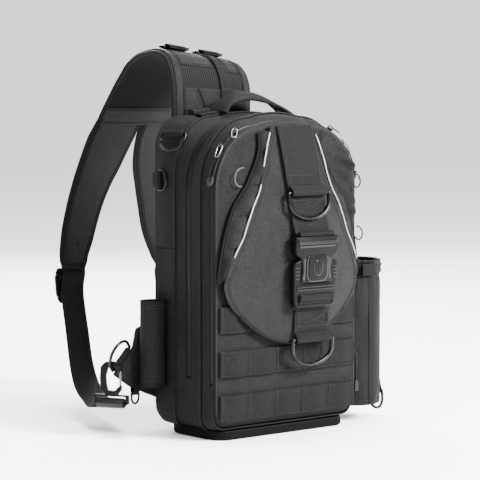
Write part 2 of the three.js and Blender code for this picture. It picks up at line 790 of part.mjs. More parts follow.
// A frame on the side of the body: the point, the way up along the cloth, the way back and the way out
function sideFrame(mesh, y, z, reach) {
  const at = (dy, dz) => vec(sideX(mesh, -1, y + dy, z + dz), y + dy, z + dz);
  const up = at(0, reach).sub(at(0, -reach)).normalize();
  const back = at(reach, 0).sub(at(-reach, 0)).normalize();
  const out = new THREE.Vector3().crossVectors(up, back).normalize();
  return { point: at(0, 0), up, back, out: out.x > 0 ? out.negate() : out };
}
const slider_heights = [0.9, 0.945];
slider_heights.forEach((height, i) => {
  const frame = sideFrame(front_zipper, front_zip_y, bottom_z + height * body_height, 2);
  const mesh = add(`front_zip_slider_${i + 1}`, zipSlider(), steel());
  place(mesh, frame.point.clone().addScaledVector(frame.out, 2.8), frame.back.clone().negate(), frame.up);
});

// Rod holster on the left side, behind its backing panel
const panel_centre_y = back_y - holster_panel_width / 2 - 1.5;
const holster_panel_x = left_x - gap - cloth_wall / 2;
const holster_panel = add('holster_backing', new THREE.BoxGeometry(
  cloth_wall,
  holster_panel_width,
  holster_panel_height,
), nylon());
holster_panel.position.set(holster_panel_x, panel_centre_y, wing_bottom + holster_panel_height / 2);
const holster_x = left_x - 2 * gap - cloth_wall - holster_radius;
const holster_y = back_y - holster_back_offset;
const tubeRow = (centre, radius, z, count, shape) => steps(count).slice(1).map((t) => {
  const angle = t * 2 * Math.PI;
  return shape(vec(centre.x + radius * Math.cos(angle), centre.y + radius * Math.sin(angle), z));
});
const tubeGrid = (centre, radius, heights, count, shape) => (
  heights.map((z) => tubeRow(centre, radius, z, count, shape))
);
const holster_heights = steps(3).map((t) => holster_bottom + t * holster_length);
const plain = (point) => point;
const holster_centre = vec(holster_x, holster_y, 0);
add('rod_holster', slab(
  tubeGrid(holster_centre, holster_radius, holster_heights, 20, plain),
  tubeGrid(holster_centre, holster_radius - shell_wall, holster_heights, 20, plain),
  true,
), nylon());

// Bottle pocket on the right side, flattened where it lies against the bag
const pocket_x = half_width + pocket_bulge;
const seam_bulk = 2 * gap + 2.15 * piping_radius;
const pocket_shape = (inset) => (point) => vec(
  Math.max(point.x, half_width + seam_bulk + inset),
  point.y,
  point.z,
);
const pocketHoop = (inset, z, share = 1) => tubeGrid(
  vec(pocket_x, pocket_setback, 0),
  (pocket_radius - inset) * share,
  [z],
  28,
  pocket_shape(inset),
)[0];
const pocket_top = pocket_bottom + pocket_height;
add('bottle_pocket', loft([
  pocketHoop(panel_wall, pocket_bottom + panel_wall, 0.5),
  pocketHoop(panel_wall, pocket_bottom + panel_wall, 0.94),
  pocketHoop(panel_wall, pocket_bottom + panel_wall + 4),
  pocketHoop(panel_wall, pocket_top),
  pocketHoop(0, pocket_top),
  pocketHoop(0, pocket_bottom + 4),
  pocketHoop(0, pocket_bottom, 0.94),
  pocketHoop(0, pocket_bottom, 0.5),
]), nylon());

// A sewn tab with a ring: the loop's tail points along up, and the ring hangs the other way
function tabRing(name, point, bar, up, size) {
  const tab = add(`${name}_tab`, barLoop(size.width, size.wire, size.tail, size.lean), webbing());
  place(tab, point, bar, up);
  const path = ringPath(size.width + 2 * size.wire + 2, size.depth, 8);
  const ring = add(`${name}_ring`, wireRing(path, size.wire, 6), steel());
  const swing = new THREE.Quaternion().setFromAxisAngle(bar.clone().normalize(), size.swing ?? 0);
  place(ring, point, bar, up.clone().applyQuaternion(swing));
}
const tab_lift = small_ring_wire + ring_clearance + webbing_thickness + gap;
const side_tab_y = rear_seam_y + 12;
const side_tab_z = bottom_z + 0.93 * body_height;
const shoulder = sideFrame(rear_shell, side_tab_y, side_tab_z, 12);
const shoulder_point = shoulder.point.clone().addScaledVector(shoulder.out, tab_lift + 3.2);
tabRing('side_upper', shoulder_point, shoulder.back, shoulder.up, {
  width: upper_tab_width,
  wire: small_ring_wire,
  tail: 6,
  lean: 0,
  depth: upper_tab_depth,
  swing: -0.12,
});
const lower_tab_z = bottom_z + 0.79 * body_height;
tabRing('side_lower', vec(left_x - tab_lift, back_y - 14, lower_tab_z), vec(0, 0, 1), vec(0, 1, 0), {
  width: lower_tab_width,
  wire: small_ring_wire,
  tail: 6,
  lean: 0,
  depth: lower_tab_depth,
});
const pocket_tab_x = pocket_x + pocket_radius + tab_lift + 0.5;
tabRing('pocket', vec(pocket_tab_x, pocket_setback, pocket_bottom + 14), vec(0, 1, 0), vec(-0.1, 0, 1), {
  width: pocket_tab_width,
  wire: 2,
  tail: 10,
  lean: 0,
  depth: pocket_tab_depth,
});

// Haul handle over the top, from the left shoulder to the right
const handle_left = handle_shift - handle_span / 2;
const handle_right = handle_shift + handle_span / 2;
const handle_count = 16;
function handleRows() {
  const y = handle_setback;
  return steps(handle_count).map((t) => {
    const x = mix(handle_left, handle_right, t);
    const base = Math.max(...[-1, 0, 1].map((side) => roofZ(rear_shell, x, y + side * handle_width / 2)));
    const ends = mix(roofZ(rear_shell, handle_left, y), roofZ(rear_shell, handle_right, y), t);
    const rise = handle_rise * Math.sin(Math.PI * t ** 0.9) ** 0.75;
    const z = Math.max(ends + rise, base + gap + handle_thickness / 2 + 1);
    return {
      point: vec(x, y, z),
      across: vec(0, 1, 0),
      width: handle_width * mix(1, 0.8, Math.sin(Math.PI * t)),
      thickness: handle_thickness,
    };
  });
}
add('haul_handle', band(handleRows(), 0.5), webbing());

// Yoke and straps in side view: back is a share of strap_reach, up of strap_top,
// outer and inner are shares of half the yoke's width, from its middle line
const yoke_table = [
  { back: 0, up: 0.806, left: -1.13, right: 0.6, lean: 0 },
  { back: 0, up: 0.86, left: -1.13, right: 0.6, lean: 0 },
  { back: 0.003, up: 0.912, left: -1.13, right: 0.61, lean: 0.04 },
  { back: 0.03, up: 0.957, left: -1.12, right: 0.62, lean: 0.08 },
  { back: 0.1, up: 0.99, left: -1.09, right: 0.63, lean: 0.12 },
  { back: 0.217, up: 1, left: -1.04, right: 0.65, lean: 0.13 },
  { back: 0.344, up: 0.996, left: -0.98, right: 0.69, lean: 0.12 },
  { back: 0.463, up: 0.978, left: -0.95, right: 0.76, lean: 0.1 },
  { back: 0.564, up: 0.941, left: -0.95, right: 0.84, lean: 0.06 },
  { back: 0.658, up: 0.89, left: -0.97, right: 0.92, lean: 0.02 },
  { back: 0.738, up: 0.835, left: -1.01, right: 0.99, lean: 0 },
];
const strap_table = [
  { back: 0.738, up: 0.835, outer: 1.01, inner: 0.02 },
  { back: 0.819, up: 0.778, outer: 1.04, inner: 0.08 },
  { back: 0.89, up: 0.713, outer: 1.07, inner: 0.17 },
  { back: 0.941, up: 0.648, outer: 1.12, inner: 0.33 },
  { back: 0.975, up: 0.578, outer: 1.19, inner: 0.48 },
  { back: 0.992, up: 0.501, outer: 1.27, inner: 0.62 },
  { back: 0.988, up: 0.44, outer: 1.32, inner: 0.78 },
  { back: 0.967, up: 0.399, outer: 1.33, inner: 0.86 },
];
const yoke_y = back_y + gap + yoke_thickness / 2;
const yoke_half = yoke_width / 2;
const sidePoint = (x, row) => vec(x, yoke_y + row.back * strap_reach, row.up * strap_top);
add('yoke', band(yoke_table.map((row) => ({
  point: sidePoint(yoke_half * (row.left + row.right) / 2, row),
  across: vec(1, 0, -row.lean),
  width: yoke_half * (row.right - row.left),
  thickness: yoke_thickness,
})), 0.5), nylon());

// What a half strap carries is built for the left side and mirrored for the right
function bothSides(name, geometry, material) {
  add(`${name}_left`, geometry, material);
  const other = geometry.clone().applyMatrix4(new THREE.Matrix4().makeScale(-1, 1, 1));
  const position = other.getAttribute('position');
  const points = Array.from({ length: position.count }, (_, i) => vec().fromBufferAttribute(position, i));
  const order = other.index ? Array.from(other.index.array) : points.map((_, i) => i);
  const triangles = [];
  for (let i = 0; i < order.length; i += 3) {
    triangles.push([order[i], order[i + 1], order[i + 2]]);
  }
  add(`${name}_right`, solid(points, triangles), material.clone());
}
function placed(geometry, point, bar, up) {
  const holder = place(new THREE.Mesh(geometry), point, bar, up);
  holder.updateMatrix();
  return geometry.applyMatrix4(holder.matrix);
}
const seam_step = sidePoint(0, strap_table[1]).sub(sidePoint(0, strap_table[0])).setLength(1.5 * gap);
bothSides('strap_pad', band(strap_table.map((row, i) => ({
  point: sidePoint(-yoke_half * (row.outer + row.inner) / 2, row).add(i === 0 ? seam_step : vec(0, 0, 0)),
  across: vec(1, 0, 0),
  width: yoke_half * (row.outer - row.inner),
  thickness: strap_thickness,
})), 0.5), nylon());

// Lower wing: corners as shares of wing_span out from its root and of wing_height up from its foot
const wing_root_x = left_x + 14;
const wing_y = back_y + gap + wing_thickness / 2;
const wing_table = [
  { out: 0, up: 1 },
  { out: 0.6, up: 0.9 },
  { out: 0.68, up: 0.68 },
  { out: 1.12, up: 0.38 },
  { out: 0.76, up: 0.22 },
  { out: 0.5, up: 0.15 },
  { out: 0, up: 0.02 },
];
const wingPoint = (row) => (
  vec(wing_root_x - row.out * wing_span, wing_y, wing_bottom + row.up * wing_height)
);
const wing_outline = wing_table.map((row) => [wingPoint(row).x, wingPoint(row).z]);
const wing_shape = plate(wing_outline, [], wing_thickness, wing_edge);
wing_shape.translate(0, wing_y, 0);
const tip_high = wingPoint(wing_table[2]);
const tip_low = wingPoint(wing_table[3]);
const tip_bar = tip_high.clone().sub(tip_low).normalize();
const tip_out = vec(-tip_bar.z, 0, tip_bar.x);
const wing_loop_reach = small_ring_wire + ring_clearance + webbing_thickness;
const tip_middle = tip_high.clone().add(tip_low).multiplyScalar(0.5);
const bar_point = tip_middle.clone().addScaledVector(tip_out, wing_loop_reach);
const wing_loop = placed(
  barLoop(wing_ring_width - 6, small_ring_wire, 3, 0),
  bar_point,
  tip_bar,
  tip_out.clone().negate(),
);
bothSides('wing', joined(wing_shape, wing_loop), nylon());
const ring_swing = 0.45;
const ring_out = tip_out.clone().applyAxisAngle(tip_bar, ring_swing);
bothSides('wing_ring', placed(
  wireRing(ringPath(wing_ring_width, wing_ring_depth, 8), small_ring_wire, 6),
  bar_point,
  tip_bar,
  ring_out.clone().negate(),
), steel());

// Snap hook, drawn in its own plane from the top of its opening: a limb round the opening, with an eye
// below for the strap, and a gate between nose and heel
const hook_turn = Math.PI / 3;
const hook_bar = vec(Math.cos(hook_turn), -Math.sin(hook_turn), 0);
const hook_point = bar_point.clone().addScaledVector(tip_bar, -wing_ring_width / 2)
  .addScaledVector(ring_out, 0.25 * wing_ring_depth)
  .add(vec(0, 0, small_ring_wire + 3));
const hook_half = hook_width / 2;
const eye_half = strap_webbing / 2 + 5;
const eye_bar = 3;
const eye_low = -hook_height - hook_limb - hook_eye_height;
const opening_half = hook_half - hook_limb;
const hook_outline = [
  [opening_half, -0.22 * hook_height],
  [hook_half, -0.2 * hook_height],
  [hook_half - 1, -0.02 * hook_height],
  [0.5 * hook_half, 0.8 * hook_limb],
  [0, hook_limb],
  [-0.55 * hook_half, 0.7 * hook_limb],
  [-hook_half, -0.14 * hook_height],
  [-hook_half - 1, -0.55 * hook_height],
  [-hook_half + 1, -0.95 * hook_height],
  [-0.5 * hook_half, -hook_height - hook_limb],
  [-eye_half, -hook_height - hook_limb],
  [-eye_half, eye_low],
  [eye_half, eye_low],
  [eye_half, -hook_height - hook_limb],
  [0.6 * hook_half, -hook_height - hook_limb],
  [hook_half, -0.9 * hook_height],
  [opening_half, -0.84 * hook_height],
  [0.35 * hook_half, -hook_height],
  [-0.35 * hook_half, -0.98 * hook_height],
  [-opening_half + 1, -0.75 * hook_height],
  [-opening_half, -0.4 * hook_height],
  [-0.6 * opening_half, -0.1 * hook_height],
  [0, 0],
  [0.65 * opening_half, -0.07 * hook_height],
];
const slot_high = -hook_height - hook_limb - 2.2;
bothSides('snap_hook', placed(
  plate(hook_outline, [slot(strap_webbing / 2 + 1.5, eye_low + eye_bar, slot_high)], hook_thickness, 1),
  hook_point,
  hook_bar,
  vec(0, 0, 1),
), plastic());
const gate_x = hook_half - hook_limb / 2;
const gate_top = -0.22 * hook_height - 2 * gap;
const gate_foot = -0.84 * hook_height + 3 * gap;
const gate = new THREE.CylinderGeometry(gate_radius, gate_radius, gate_top - gate_foot, 8);
gate.rotateX(Math.PI / 2).translate(gate_x, 0, (gate_top + gate_foot) / 2);
bothSides('hook_gate', placed(gate, hook_point, hook_bar, vec(0, 0, 1)), steel());

// Strap webbing from the pad down to the hook's eye, looped round its bar
const eye_radius = hook_thickness / 2;
const eye_point = hook_point.clone().add(vec(0, 0, eye_low + eye_bar / 2));
const hook_side = vec(-hook_bar.y, hook_bar.x, 0);
const strap_row = strap_table.at(-1);
const strap_end = sidePoint(-yoke_half * (strap_row.outer + strap_row.inner) / 2, strap_row);
const eye_tail = eye_radius + webbing_thickness + ring_clearance + 6;
const tail_start = eye_point.clone().addScaledVector(hook_side, eye_tail);
const webbing_drops = [
  { out: 6, front: 4, fall: 0.17 },
  { out: 18, front: 31, fall: 0.42 },
  { out: 32, front: 60, fall: 0.63 },
  { out: 48, front: 96, fall: 0.77 },
];
const webbing_points = [
  strap_end.clone().add(vec(0, 0, -slider_height / 9)),
  ...webbing_drops.map((row) => (
    strap_end.clone().add(vec(-row.out, -row.front, -row.fall * strap_end.z))
  )),
  vec(mix(strap_end.x, tail_start.x, 0.6), mix(strap_end.y, tail_start.y, 0.58), webbing_low_point + 2),
  vec(mix(strap_end.x, tail_start.x, 0.82), mix(strap_end.y, tail_start.y, 0.78), webbing_low_point),
  tail_start.clone().addScaledVector(hook_side, -2),
];
const webbing_curve = new THREE.CatmullRomCurve3(webbing_points);
const webbing_count = 16;
const webbing_rows = webbing_curve.getSpacedPoints(webbing_count).map((point, i) => {
  const share = i / webbing_count;
  const turn = THREE.MathUtils.smoothstep(share, 0.35, 1);
  return {
    point,
    across: vec(1, 0, 0).lerp(hook_bar, turn).normalize(),
    width: strap_webbing,
    thickness: webbing_thickness,
  };
});
const eye_loop = placed(
  barLoop(strap_webbing, eye_radius, 6, 0),
  eye_point,
  hook_bar,
  hook_side,
);
bothSides('strap_webbing', joined(band(webbing_rows), eye_loop), webbing());

// Slider behind the top of the webbing
const slider_half = slider_width / 2;
const slider_shape = plate([
  [-slider_half, 3],
  [-slider_half + 4, 0],
  [slider_half - 4, 0],
  [slider_half, 3],
  [slider_half, slider_height - 3],
  [slider_half - 4, slider_height],
  [-slider_half + 4, slider_height],
  [-slider_half, slider_height - 3],
], [
  slot(strap_webbing / 2 + 1, 5, slider_height / 2 - 3),
  slot(strap_webbing / 2 + 1, slider_height / 2 + 3, slider_height - 5),
], slider_thickness, 1);
const slider_up = webbing_rows[0].point.clone().sub(webbing_rows[2].point).normalize();
const slider_out = new THREE.Vector3().crossVectors(vec(-1, 0, 0), slider_up).normalize();
const slider_back = slider_thickness / 2 + webbing_thickness / 2 + 8 * gap;
const slider_place = webbing_rows[0].point.clone().addScaledVector(slider_up, -slider_height - 1)
  .addScaledVector(slider_out, slider_back);
bothSides('strap_slider', placed(slider_shape, slider_place, vec(1, 0, 0), slider_up), plastic());

// Small ring hung from the left wing's lower edge
const small_ring = add('wing_small_ring', wireRing(ringPath(12, 14, 6), 1.5, 6), steel());
place(small_ring, wingPoint({ out: 0.63, up: 0.185 }).add(vec(0, 0, -5)), vec(1, 0, 0), vec(0, 0, 1));

// Tabs with rings across the top of the yoke, and a webbing roll in front of its root
const yoke_top = yoke_table[5];
[-0.55, 0.22].forEach((share, i) => {
  const x = yoke_half * share;
  const middle = yoke_half * (yoke_top.left + yoke_top.right) / 2;
  const lift = yoke_thickness / 2 + tab_lift;
  const point = sidePoint(x, yoke_top).add(vec(0, 0, lift - yoke_top.lean * (x - middle)));
  tabRing(`yoke_${i + 1}`, point, vec(1, 0, -yoke_top.lean), vec(0, -1, 0), {
    width: 32,
    wire: small_ring_wire,
    tail: 6,
    lean: 0,
    depth: 18,
    swing: 0,
  });
});

export default bag;
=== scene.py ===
"""Dresses the tackle sling bag: cloth, webbing, zippers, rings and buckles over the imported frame.

Sizes are in millimetres in the row's frame (front towards -Y, wearer towards +Y) and become metres in put().
"""
import math
import bmesh
import bpy
import numpy as np
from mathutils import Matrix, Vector


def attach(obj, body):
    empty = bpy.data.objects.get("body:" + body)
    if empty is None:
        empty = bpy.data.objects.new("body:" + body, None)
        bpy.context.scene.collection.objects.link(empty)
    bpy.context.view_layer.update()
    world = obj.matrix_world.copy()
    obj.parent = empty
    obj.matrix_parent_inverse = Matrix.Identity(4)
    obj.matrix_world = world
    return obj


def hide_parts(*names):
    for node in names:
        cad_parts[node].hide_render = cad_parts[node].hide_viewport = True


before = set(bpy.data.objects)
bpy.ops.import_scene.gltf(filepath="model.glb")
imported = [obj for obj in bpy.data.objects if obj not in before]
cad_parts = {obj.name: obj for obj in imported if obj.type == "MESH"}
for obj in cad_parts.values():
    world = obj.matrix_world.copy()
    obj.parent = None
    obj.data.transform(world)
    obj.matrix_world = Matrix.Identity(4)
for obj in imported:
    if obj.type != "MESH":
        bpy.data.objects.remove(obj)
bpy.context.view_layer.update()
dice = np.random.default_rng(41)
PI = math.pi


# Numbers shared with the solids
HALF, DEPTH, HEIGHT = 120.0, 125.0, 406.0
BACK, FRONT, LOW = 62.5, -62.5, 12.0
REAR_SEAM, FRONT_SEAM, MAIN_ZIP, FRONT_ZIP = 18.5, -33.5, -7.0, -53.5
REAR_RIM, MAIN_RIM = MAIN_ZIP + 6, MAIN_ZIP - 6
ZIP_BACK, ZIP_FRONT = FRONT_ZIP + 3.5, FRONT_ZIP - 3.5
BOTTOM_CORNER, ROOF_RISE, FRONT_CROWN, PANEL_MIDDLE = 18.0, 6.0, 6.0, 215.0
SECTION = np.array([  # share of depth, top, corner x, corner z, lift, lean
    (0, 0.997, 0.34, 0.11, 0.012, 0.017),
    (0.06, 1, 0.36, 0.12, 0, 0.016),
    (0.352, 1, 0.5, 0.17, 0, 0.008),
    (0.556, 0.997, 0.65, 0.23, 0, 0),
    (0.768, 1, 0.62, 0.21, 0, 0),
    (0.9, 0.989, 0.61, 0.2, 0.004, 0),
    (1, 0.974, 0.6, 0.195, 0.03, 0)])
FLAP_LOW, FLAP_TALL, FLAP_LIFT = 122.0, 283.0, 26.0
FLAP = np.array([  # share down the flap, half width, welt, middle lift, edge lift
    (0, 0.29, 0.42, 0.3, 0.26), (0.08, 0.35, 0.42, 0.42, 0.3), (0.25, 0.47, 0.58, 0.7, 0.42),
    (0.38, 0.61, 0.8, 0.88, 0.5), (0.5, 0.74, 0.9, 0.98, 0.5), (0.6, 0.86, 0.95, 1, 0.46),
    (0.72, 0.95, 0.985, 0.94, 0.36), (0.79, 0.9, 0.985, 0.86, 0.35), (0.855, 0.77, 0.985, 0.76, 0.35),
    (0.936, 0.52, 0.985, 0.6, 0.35), (0.98, 0.3, 0.985, 0.48, 0.35), (1, 0.12, 0.985, 0.4, 0.35)])
YOKE = np.array([  # back, up, left, right, lean
    (0, 0.806, -1.13, 0.6, 0), (0, 0.86, -1.13, 0.6, 0), (0.003, 0.912, -1.13, 0.61, 0.04),
    (0.03, 0.957, -1.12, 0.62, 0.08), (0.1, 0.99, -1.09, 0.63, 0.12), (0.217, 1, -1.04, 0.65, 0.13),
    (0.344, 0.996, -0.98, 0.69, 0.12), (0.463, 0.978, -0.95, 0.76, 0.1), (0.564, 0.941, -0.95, 0.84, 0.06),
    (0.658, 0.89, -0.97, 0.92, 0.02), (0.738, 0.835, -1.01, 0.99, 0)])
STRAP = np.array([  # back, up, outer, inner
    (0.738, 0.835, 1.01, 0.02), (0.819, 0.778, 1.04, 0.08), (0.89, 0.713, 1.07, 0.17),
    (0.941, 0.648, 1.12, 0.33), (0.975, 0.578, 1.19, 0.48), (0.992, 0.501, 1.27, 0.62),
    (0.988, 0.44, 1.32, 0.78), (0.967, 0.399, 1.33, 0.86)])
YOKE_Y, STRAP_REACH, STRAP_TOP, YOKE_HALF = 68.8, 236.0, 491.0, 75.0
LOAD_HALF, LOAD_LOW, LOAD_STEP, LOAD_TALL, LOAD_ARCH = 116.0, 26.5, 57.0, 34.0, 2.2
CENTRE_WIDTH, STRAP_WIDTH, STRAP_THICK, WING_Y = 60.0, 38.0, 1.8, 66.3


# Small mathematics
def V(*v):
    """A point or a direction."""
    return np.array(v, float)


def unit(a):
    """Vectors divided by their lengths."""
    a = np.asarray(a, float)
    return a / np.maximum(np.linalg.norm(a, axis=-1, keepdims=True), 1e-9)


def flow(x, xp, fp):
    """Smooth curve through a table: cubic Hermite pieces whose slopes are the harmonic mean of their neighbours."""
    xp, fp = np.asarray(xp, float), np.asarray(fp, float)
    x = np.clip(x, xp[0], xp[-1])
    h, d = np.diff(xp), np.diff(fp) / np.diff(xp)
    same = d[1:] * d[:-1] > 0
    mean = np.where(same, 2 * d[1:] * d[:-1] / np.where(same, d[1:] + d[:-1], 1), 0)
    m = np.concatenate([d[:1], mean, d[-1:]])
    i = np.clip(np.searchsorted(xp, x, side="right") - 1, 0, len(h) - 1)
    t = (x - xp[i]) / h[i]
    return ((2 * t**3 - 3 * t**2 + 1) * fp[i] + (t**3 - 2 * t**2 + t) * h[i] * m[i]
            + (3 * t**2 - 2 * t**3) * fp[i + 1] + (t**3 - t**2) * h[i] * m[i + 1])


def run(path):
    """Distance along a path at each of its points."""
    return np.concatenate([[0], np.cumsum(np.linalg.norm(np.diff(path, axis=0), axis=1))])


def length(path):
    """Length of a path: the sum of its steps."""
    return np.linalg.norm(np.diff(path, axis=0), axis=1).sum()


def spline(points, count, closed=False):
    """Catmull-Rom curve through points, sampled at equal lengths."""
    p = np.asarray(points, float)
    if closed:
        p = np.vstack([p[-1:], p, p[:2]])
    else:
        p = np.vstack([2 * p[0] - p[1], p, 2 * p[-1] - p[-2]])
    t = np.linspace(0, 1, 24, endpoint=False)[:, None, None]
    a, b, c, d = p[:-3], p[1:-2], p[2:-1], p[3:]
    dense = 0.5 * (2 * b + (c - a) * t + (2 * a - 5 * b + 4 * c - d) * t**2 + (3 * b - a - 3 * c + d) * t**3)
    dense = np.vstack([dense.transpose(1, 0, 2).reshape(-1, p.shape[1]), p[-2]])
    return even(dense, count, closed)


def even(path, count, closed=False):
    """The same path at equal steps along its length."""
    s = run(path)
    at = np.linspace(0, s[-1], count, endpoint=not closed)
    return np.stack([np.interp(at, s, path[:, k]) for k in range(path.shape[1])], -1)


def ripple(p, scale, seed=0):
    """Smooth noise from -1 to 1: a sum of eight sine waves in turned directions, each a little finer."""
    rng = np.random.default_rng(seed)
    total = 0
    for k in range(8):
        way = unit(rng.normal(size=3)) * (2 * PI / (scale * (0.6 + 0.2 * k)))
        total = total + np.sin(p @ way + rng.uniform(0, 6.28)) / (1 + 0.35 * k)
    return total / 4.2


def dents(p, scale, seed):
    """The same noise from 0 to 1."""
    return 0.5 + 0.5 * ripple(p, scale, seed)


def normals(grid):
    """Unit normals of a grid of points from the cross product of its two directions."""
    return unit(np.cross(np.gradient(grid, axis=0), np.gradient(grid, axis=1)))


def pose(local, point, bar, up):
    """Local (along bar, depth, up) coordinates turned and moved to a place."""
    x = unit(bar)
    z = unit(np.asarray(up, float) - np.dot(up, x) * x)
    return np.asarray(local, float) @ np.array([x, np.cross(z, x), z]) + np.asarray(point, float)


# Mesh makers
def placed(name, data):
    """A new object in the scene for a mesh, a curve, a lamp or a camera."""
    thing = bpy.data.objects.new(name, data)
    bpy.context.scene.collection.objects.link(thing)
    return thing


def coords(mesh):
    """The places of a mesh's vertices, in metres."""
    points = np.zeros(len(mesh.vertices) * 3)
    mesh.vertices.foreach_get("co", points)
    return points.reshape(-1, 3)


def put(name, points, faces, finish, uv=None, replaces=(), body="bag", shade=None, smooth=True, sharp=40):
    """Makes a piece from millimetre points: merges doubled points, turns its faces outwards by signed volume."""
    mesh = bpy.data.meshes.new(name)
    mesh.from_pydata((np.asarray(points) * 0.001).tolist(), [], [list(map(int, f)) for f in faces])
    if uv is not None:
        layer = mesh.uv_layers.new(name="UVMap")
        layer.data.foreach_set("uv", (np.asarray(uv) * 0.001).ravel())
    if shade is not None:
        mark = mesh.attributes.new("shade", "FLOAT", "POINT")
        mark.data.foreach_set("value", np.asarray(shade, float).ravel())
    bm = bmesh.new()
    bm.from_mesh(mesh)
    bmesh.ops.remove_doubles(bm, verts=bm.verts, dist=2e-6)
    bmesh.ops.dissolve_degenerate(bm, edges=bm.edges, dist=1e-7)
    if bm.calc_volume(signed=True) < 0:
        bmesh.ops.reverse_faces(bm, faces=bm.faces)
    if smooth:
        for face in bm.faces:
            face.smooth = True
        for edge in bm.edges:
            if len(edge.link_faces) == 2 and edge.calc_face_angle(0) > math.radians(sharp):
                edge.smooth = False
    bm.to_mesh(mesh)
    bm.free()
    piece = placed(name, mesh)
    piece.data.materials.append(FINISH[finish])
    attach(piece, body)
    if replaces:
        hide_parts(*replaces)
    return piece


def grid_faces(rows, cols, around=False, ring=False):
    """Quads between neighbours of a grid, with the row and the column of each."""
    r = np.arange(rows if ring else rows - 1)
    c = np.arange(cols if around else cols - 1)
    R, C = [a.ravel() for a in np.meshgrid(r, c, indexing="ij")]
    a, b = R * cols, ((R + 1) % rows) * cols
    d = (C + 1) % cols
    return np.stack([a + C, a + d, b + d, b + C], -1), R, C


def grid_uv(grid, R, C):
    """Millimetres along both directions of a grid, from mean lengths, for each corner of each quad."""
    across = np.linalg.norm(np.diff(np.concatenate([grid, grid[:, :1]], 1), axis=1), axis=2).mean(0)
    down = np.linalg.norm(np.diff(np.concatenate([grid, grid[:1]], 0), axis=0), axis=2).mean(1)
    u, v = np.concatenate([[0], np.cumsum(across)]), np.concatenate([[0], np.cumsum(down)])
    return np.stack([np.stack([u[C], v[R]], -1), np.stack([u[C + 1], v[R]], -1),
                     np.stack([u[C + 1], v[R + 1]], -1), np.stack([u[C], v[R + 1]], -1)], 1).reshape(-1, 2)


def surface(name, grid, finish, around=False, ring=False, shade=None, **rest):
    """A skin over a grid of points: each four neighbours make a face."""
    grid = np.asarray(grid, float)
    rows, cols = grid.shape[:2]
    faces, R, C = grid_faces(rows, cols, around, ring)
    return put(name, grid.reshape(-1, 3), faces, finish, grid_uv(grid, R, C), shade=shade, **rest)


def slab(name, front, back, finish, shade=None, **rest):
    """Two grids joined round their edges: a panel of cloth with its thickness."""
    front, back = np.asarray(front, float), np.asarray(back, float)
    rows, cols = front.shape[:2]
    f1, R, C = grid_faces(rows, cols)
    uv = grid_uv(front, R, C).reshape(-1, 4, 2)
    f2 = f1[:, ::-1] + rows * cols
    rim = np.concatenate([np.arange(cols), np.arange(1, rows) * cols + cols - 1,
                          (rows - 1) * cols + np.arange(cols - 2, -1, -1), np.arange(rows - 2, 0, -1) * cols])
    nxt = np.roll(rim, -1)
    f3 = np.stack([nxt, rim, rim + rows * cols, nxt + rows * cols], -1)
    flat_uv = np.zeros((rows * cols, 2))
    flat_uv[f1.ravel()] = uv.reshape(-1, 2)
    uv3 = np.stack([flat_uv[nxt], flat_uv[rim], flat_uv[rim] + 1, flat_uv[nxt] + 1], 1)
    all_uv = np.concatenate([uv, uv[:, ::-1], uv3]).reshape(-1, 2)
    marks = None if shade is None else np.concatenate([np.ravel(shade)] * 2)
    return put(name, np.concatenate([front.reshape(-1, 3), back.reshape(-1, 3)]),
               np.concatenate([f1, f2, f3]), finish, all_uv, shade=marks, **rest)


def carry(path, profile, side, closed=False, capped=True):
    """Grid of a profile (across, out) carried along a path; across is side made square to the path.

    point = path + across * a + out * b, with out = path direction x across.
    """
    path = np.asarray(path, float)
    if closed:
        along = unit(np.roll(path, -1, 0) - np.roll(path, 1, 0))
    else:
        along = unit(np.gradient(path, axis=0))
    side = np.broadcast_to(np.asarray(side, float), path.shape)
    across = unit(side - (side * along).sum(1, keepdims=True) * along)
    out = np.cross(along, across)
    profile = np.asarray(profile, float)
    if profile.ndim == 2:
        profile = np.broadcast_to(profile, (len(path),) + profile.shape)
    grid = path[:, None] + across[:, None] * profile[..., :1] + out[:, None] * profile[..., 1:]
    if capped and not closed:
        grid = np.concatenate([np.broadcast_to(grid[:1].mean(1, keepdims=True), grid[:1].shape), grid,
                               np.broadcast_to(grid[-1:].mean(1, keepdims=True), grid[:1].shape)])
    return grid


def round_profile(radius, sides=10):
    """A regular polygon: (radius cos a, radius sin a)."""
    a = np.arange(sides) * 2 * PI / sides
    return np.stack([radius * np.cos(a), radius * np.sin(a)], -1)


def flat_profile(width, thick, across=10, edge=3):
    """Cross section of a strap: flat faces with half-round edges."""
    r, w = thick / 2, width / 2 - thick / 2
    x = np.linspace(-w, w, across)
    a = np.linspace(PI / 2, -PI / 2, edge + 2)[1:-1]
    top = np.stack([x, np.full(across, r)], -1)
    right = np.stack([w + r * np.cos(a), r * np.sin(a)], -1)
    return np.concatenate([top, right, -top, -right])


def plane_side(path):
    """The direction square to the plane that a path lies in."""
    return np.linalg.svd(path - path.mean(0), full_matrices=False)[2][-1]


def tube(name, path, radius, finish, closed=False, sides=10, side=None, **rest):
    """A round bar, cord or welt along a path; radius may be one number or one for each point."""
    path = np.asarray(path, float)
    profile = round_profile(1, sides)[None] * np.broadcast_to(radius, (len(path),))[:, None, None]
    grid = carry(path, profile, plane_side(path) if side is None else side, closed)
    return surface(name, grid, finish, around=True, ring=closed, **rest)


def strap(name, path, side, width, thick, finish, **rest):
    """A webbing strap: the strap's cross section carried along a path."""
    width = np.broadcast_to(width, (len(path),))
    profile = np.stack([flat_profile(w, thick) for w in width])
    return surface(name, carry(path, profile, side), finish, around=True, **rest)


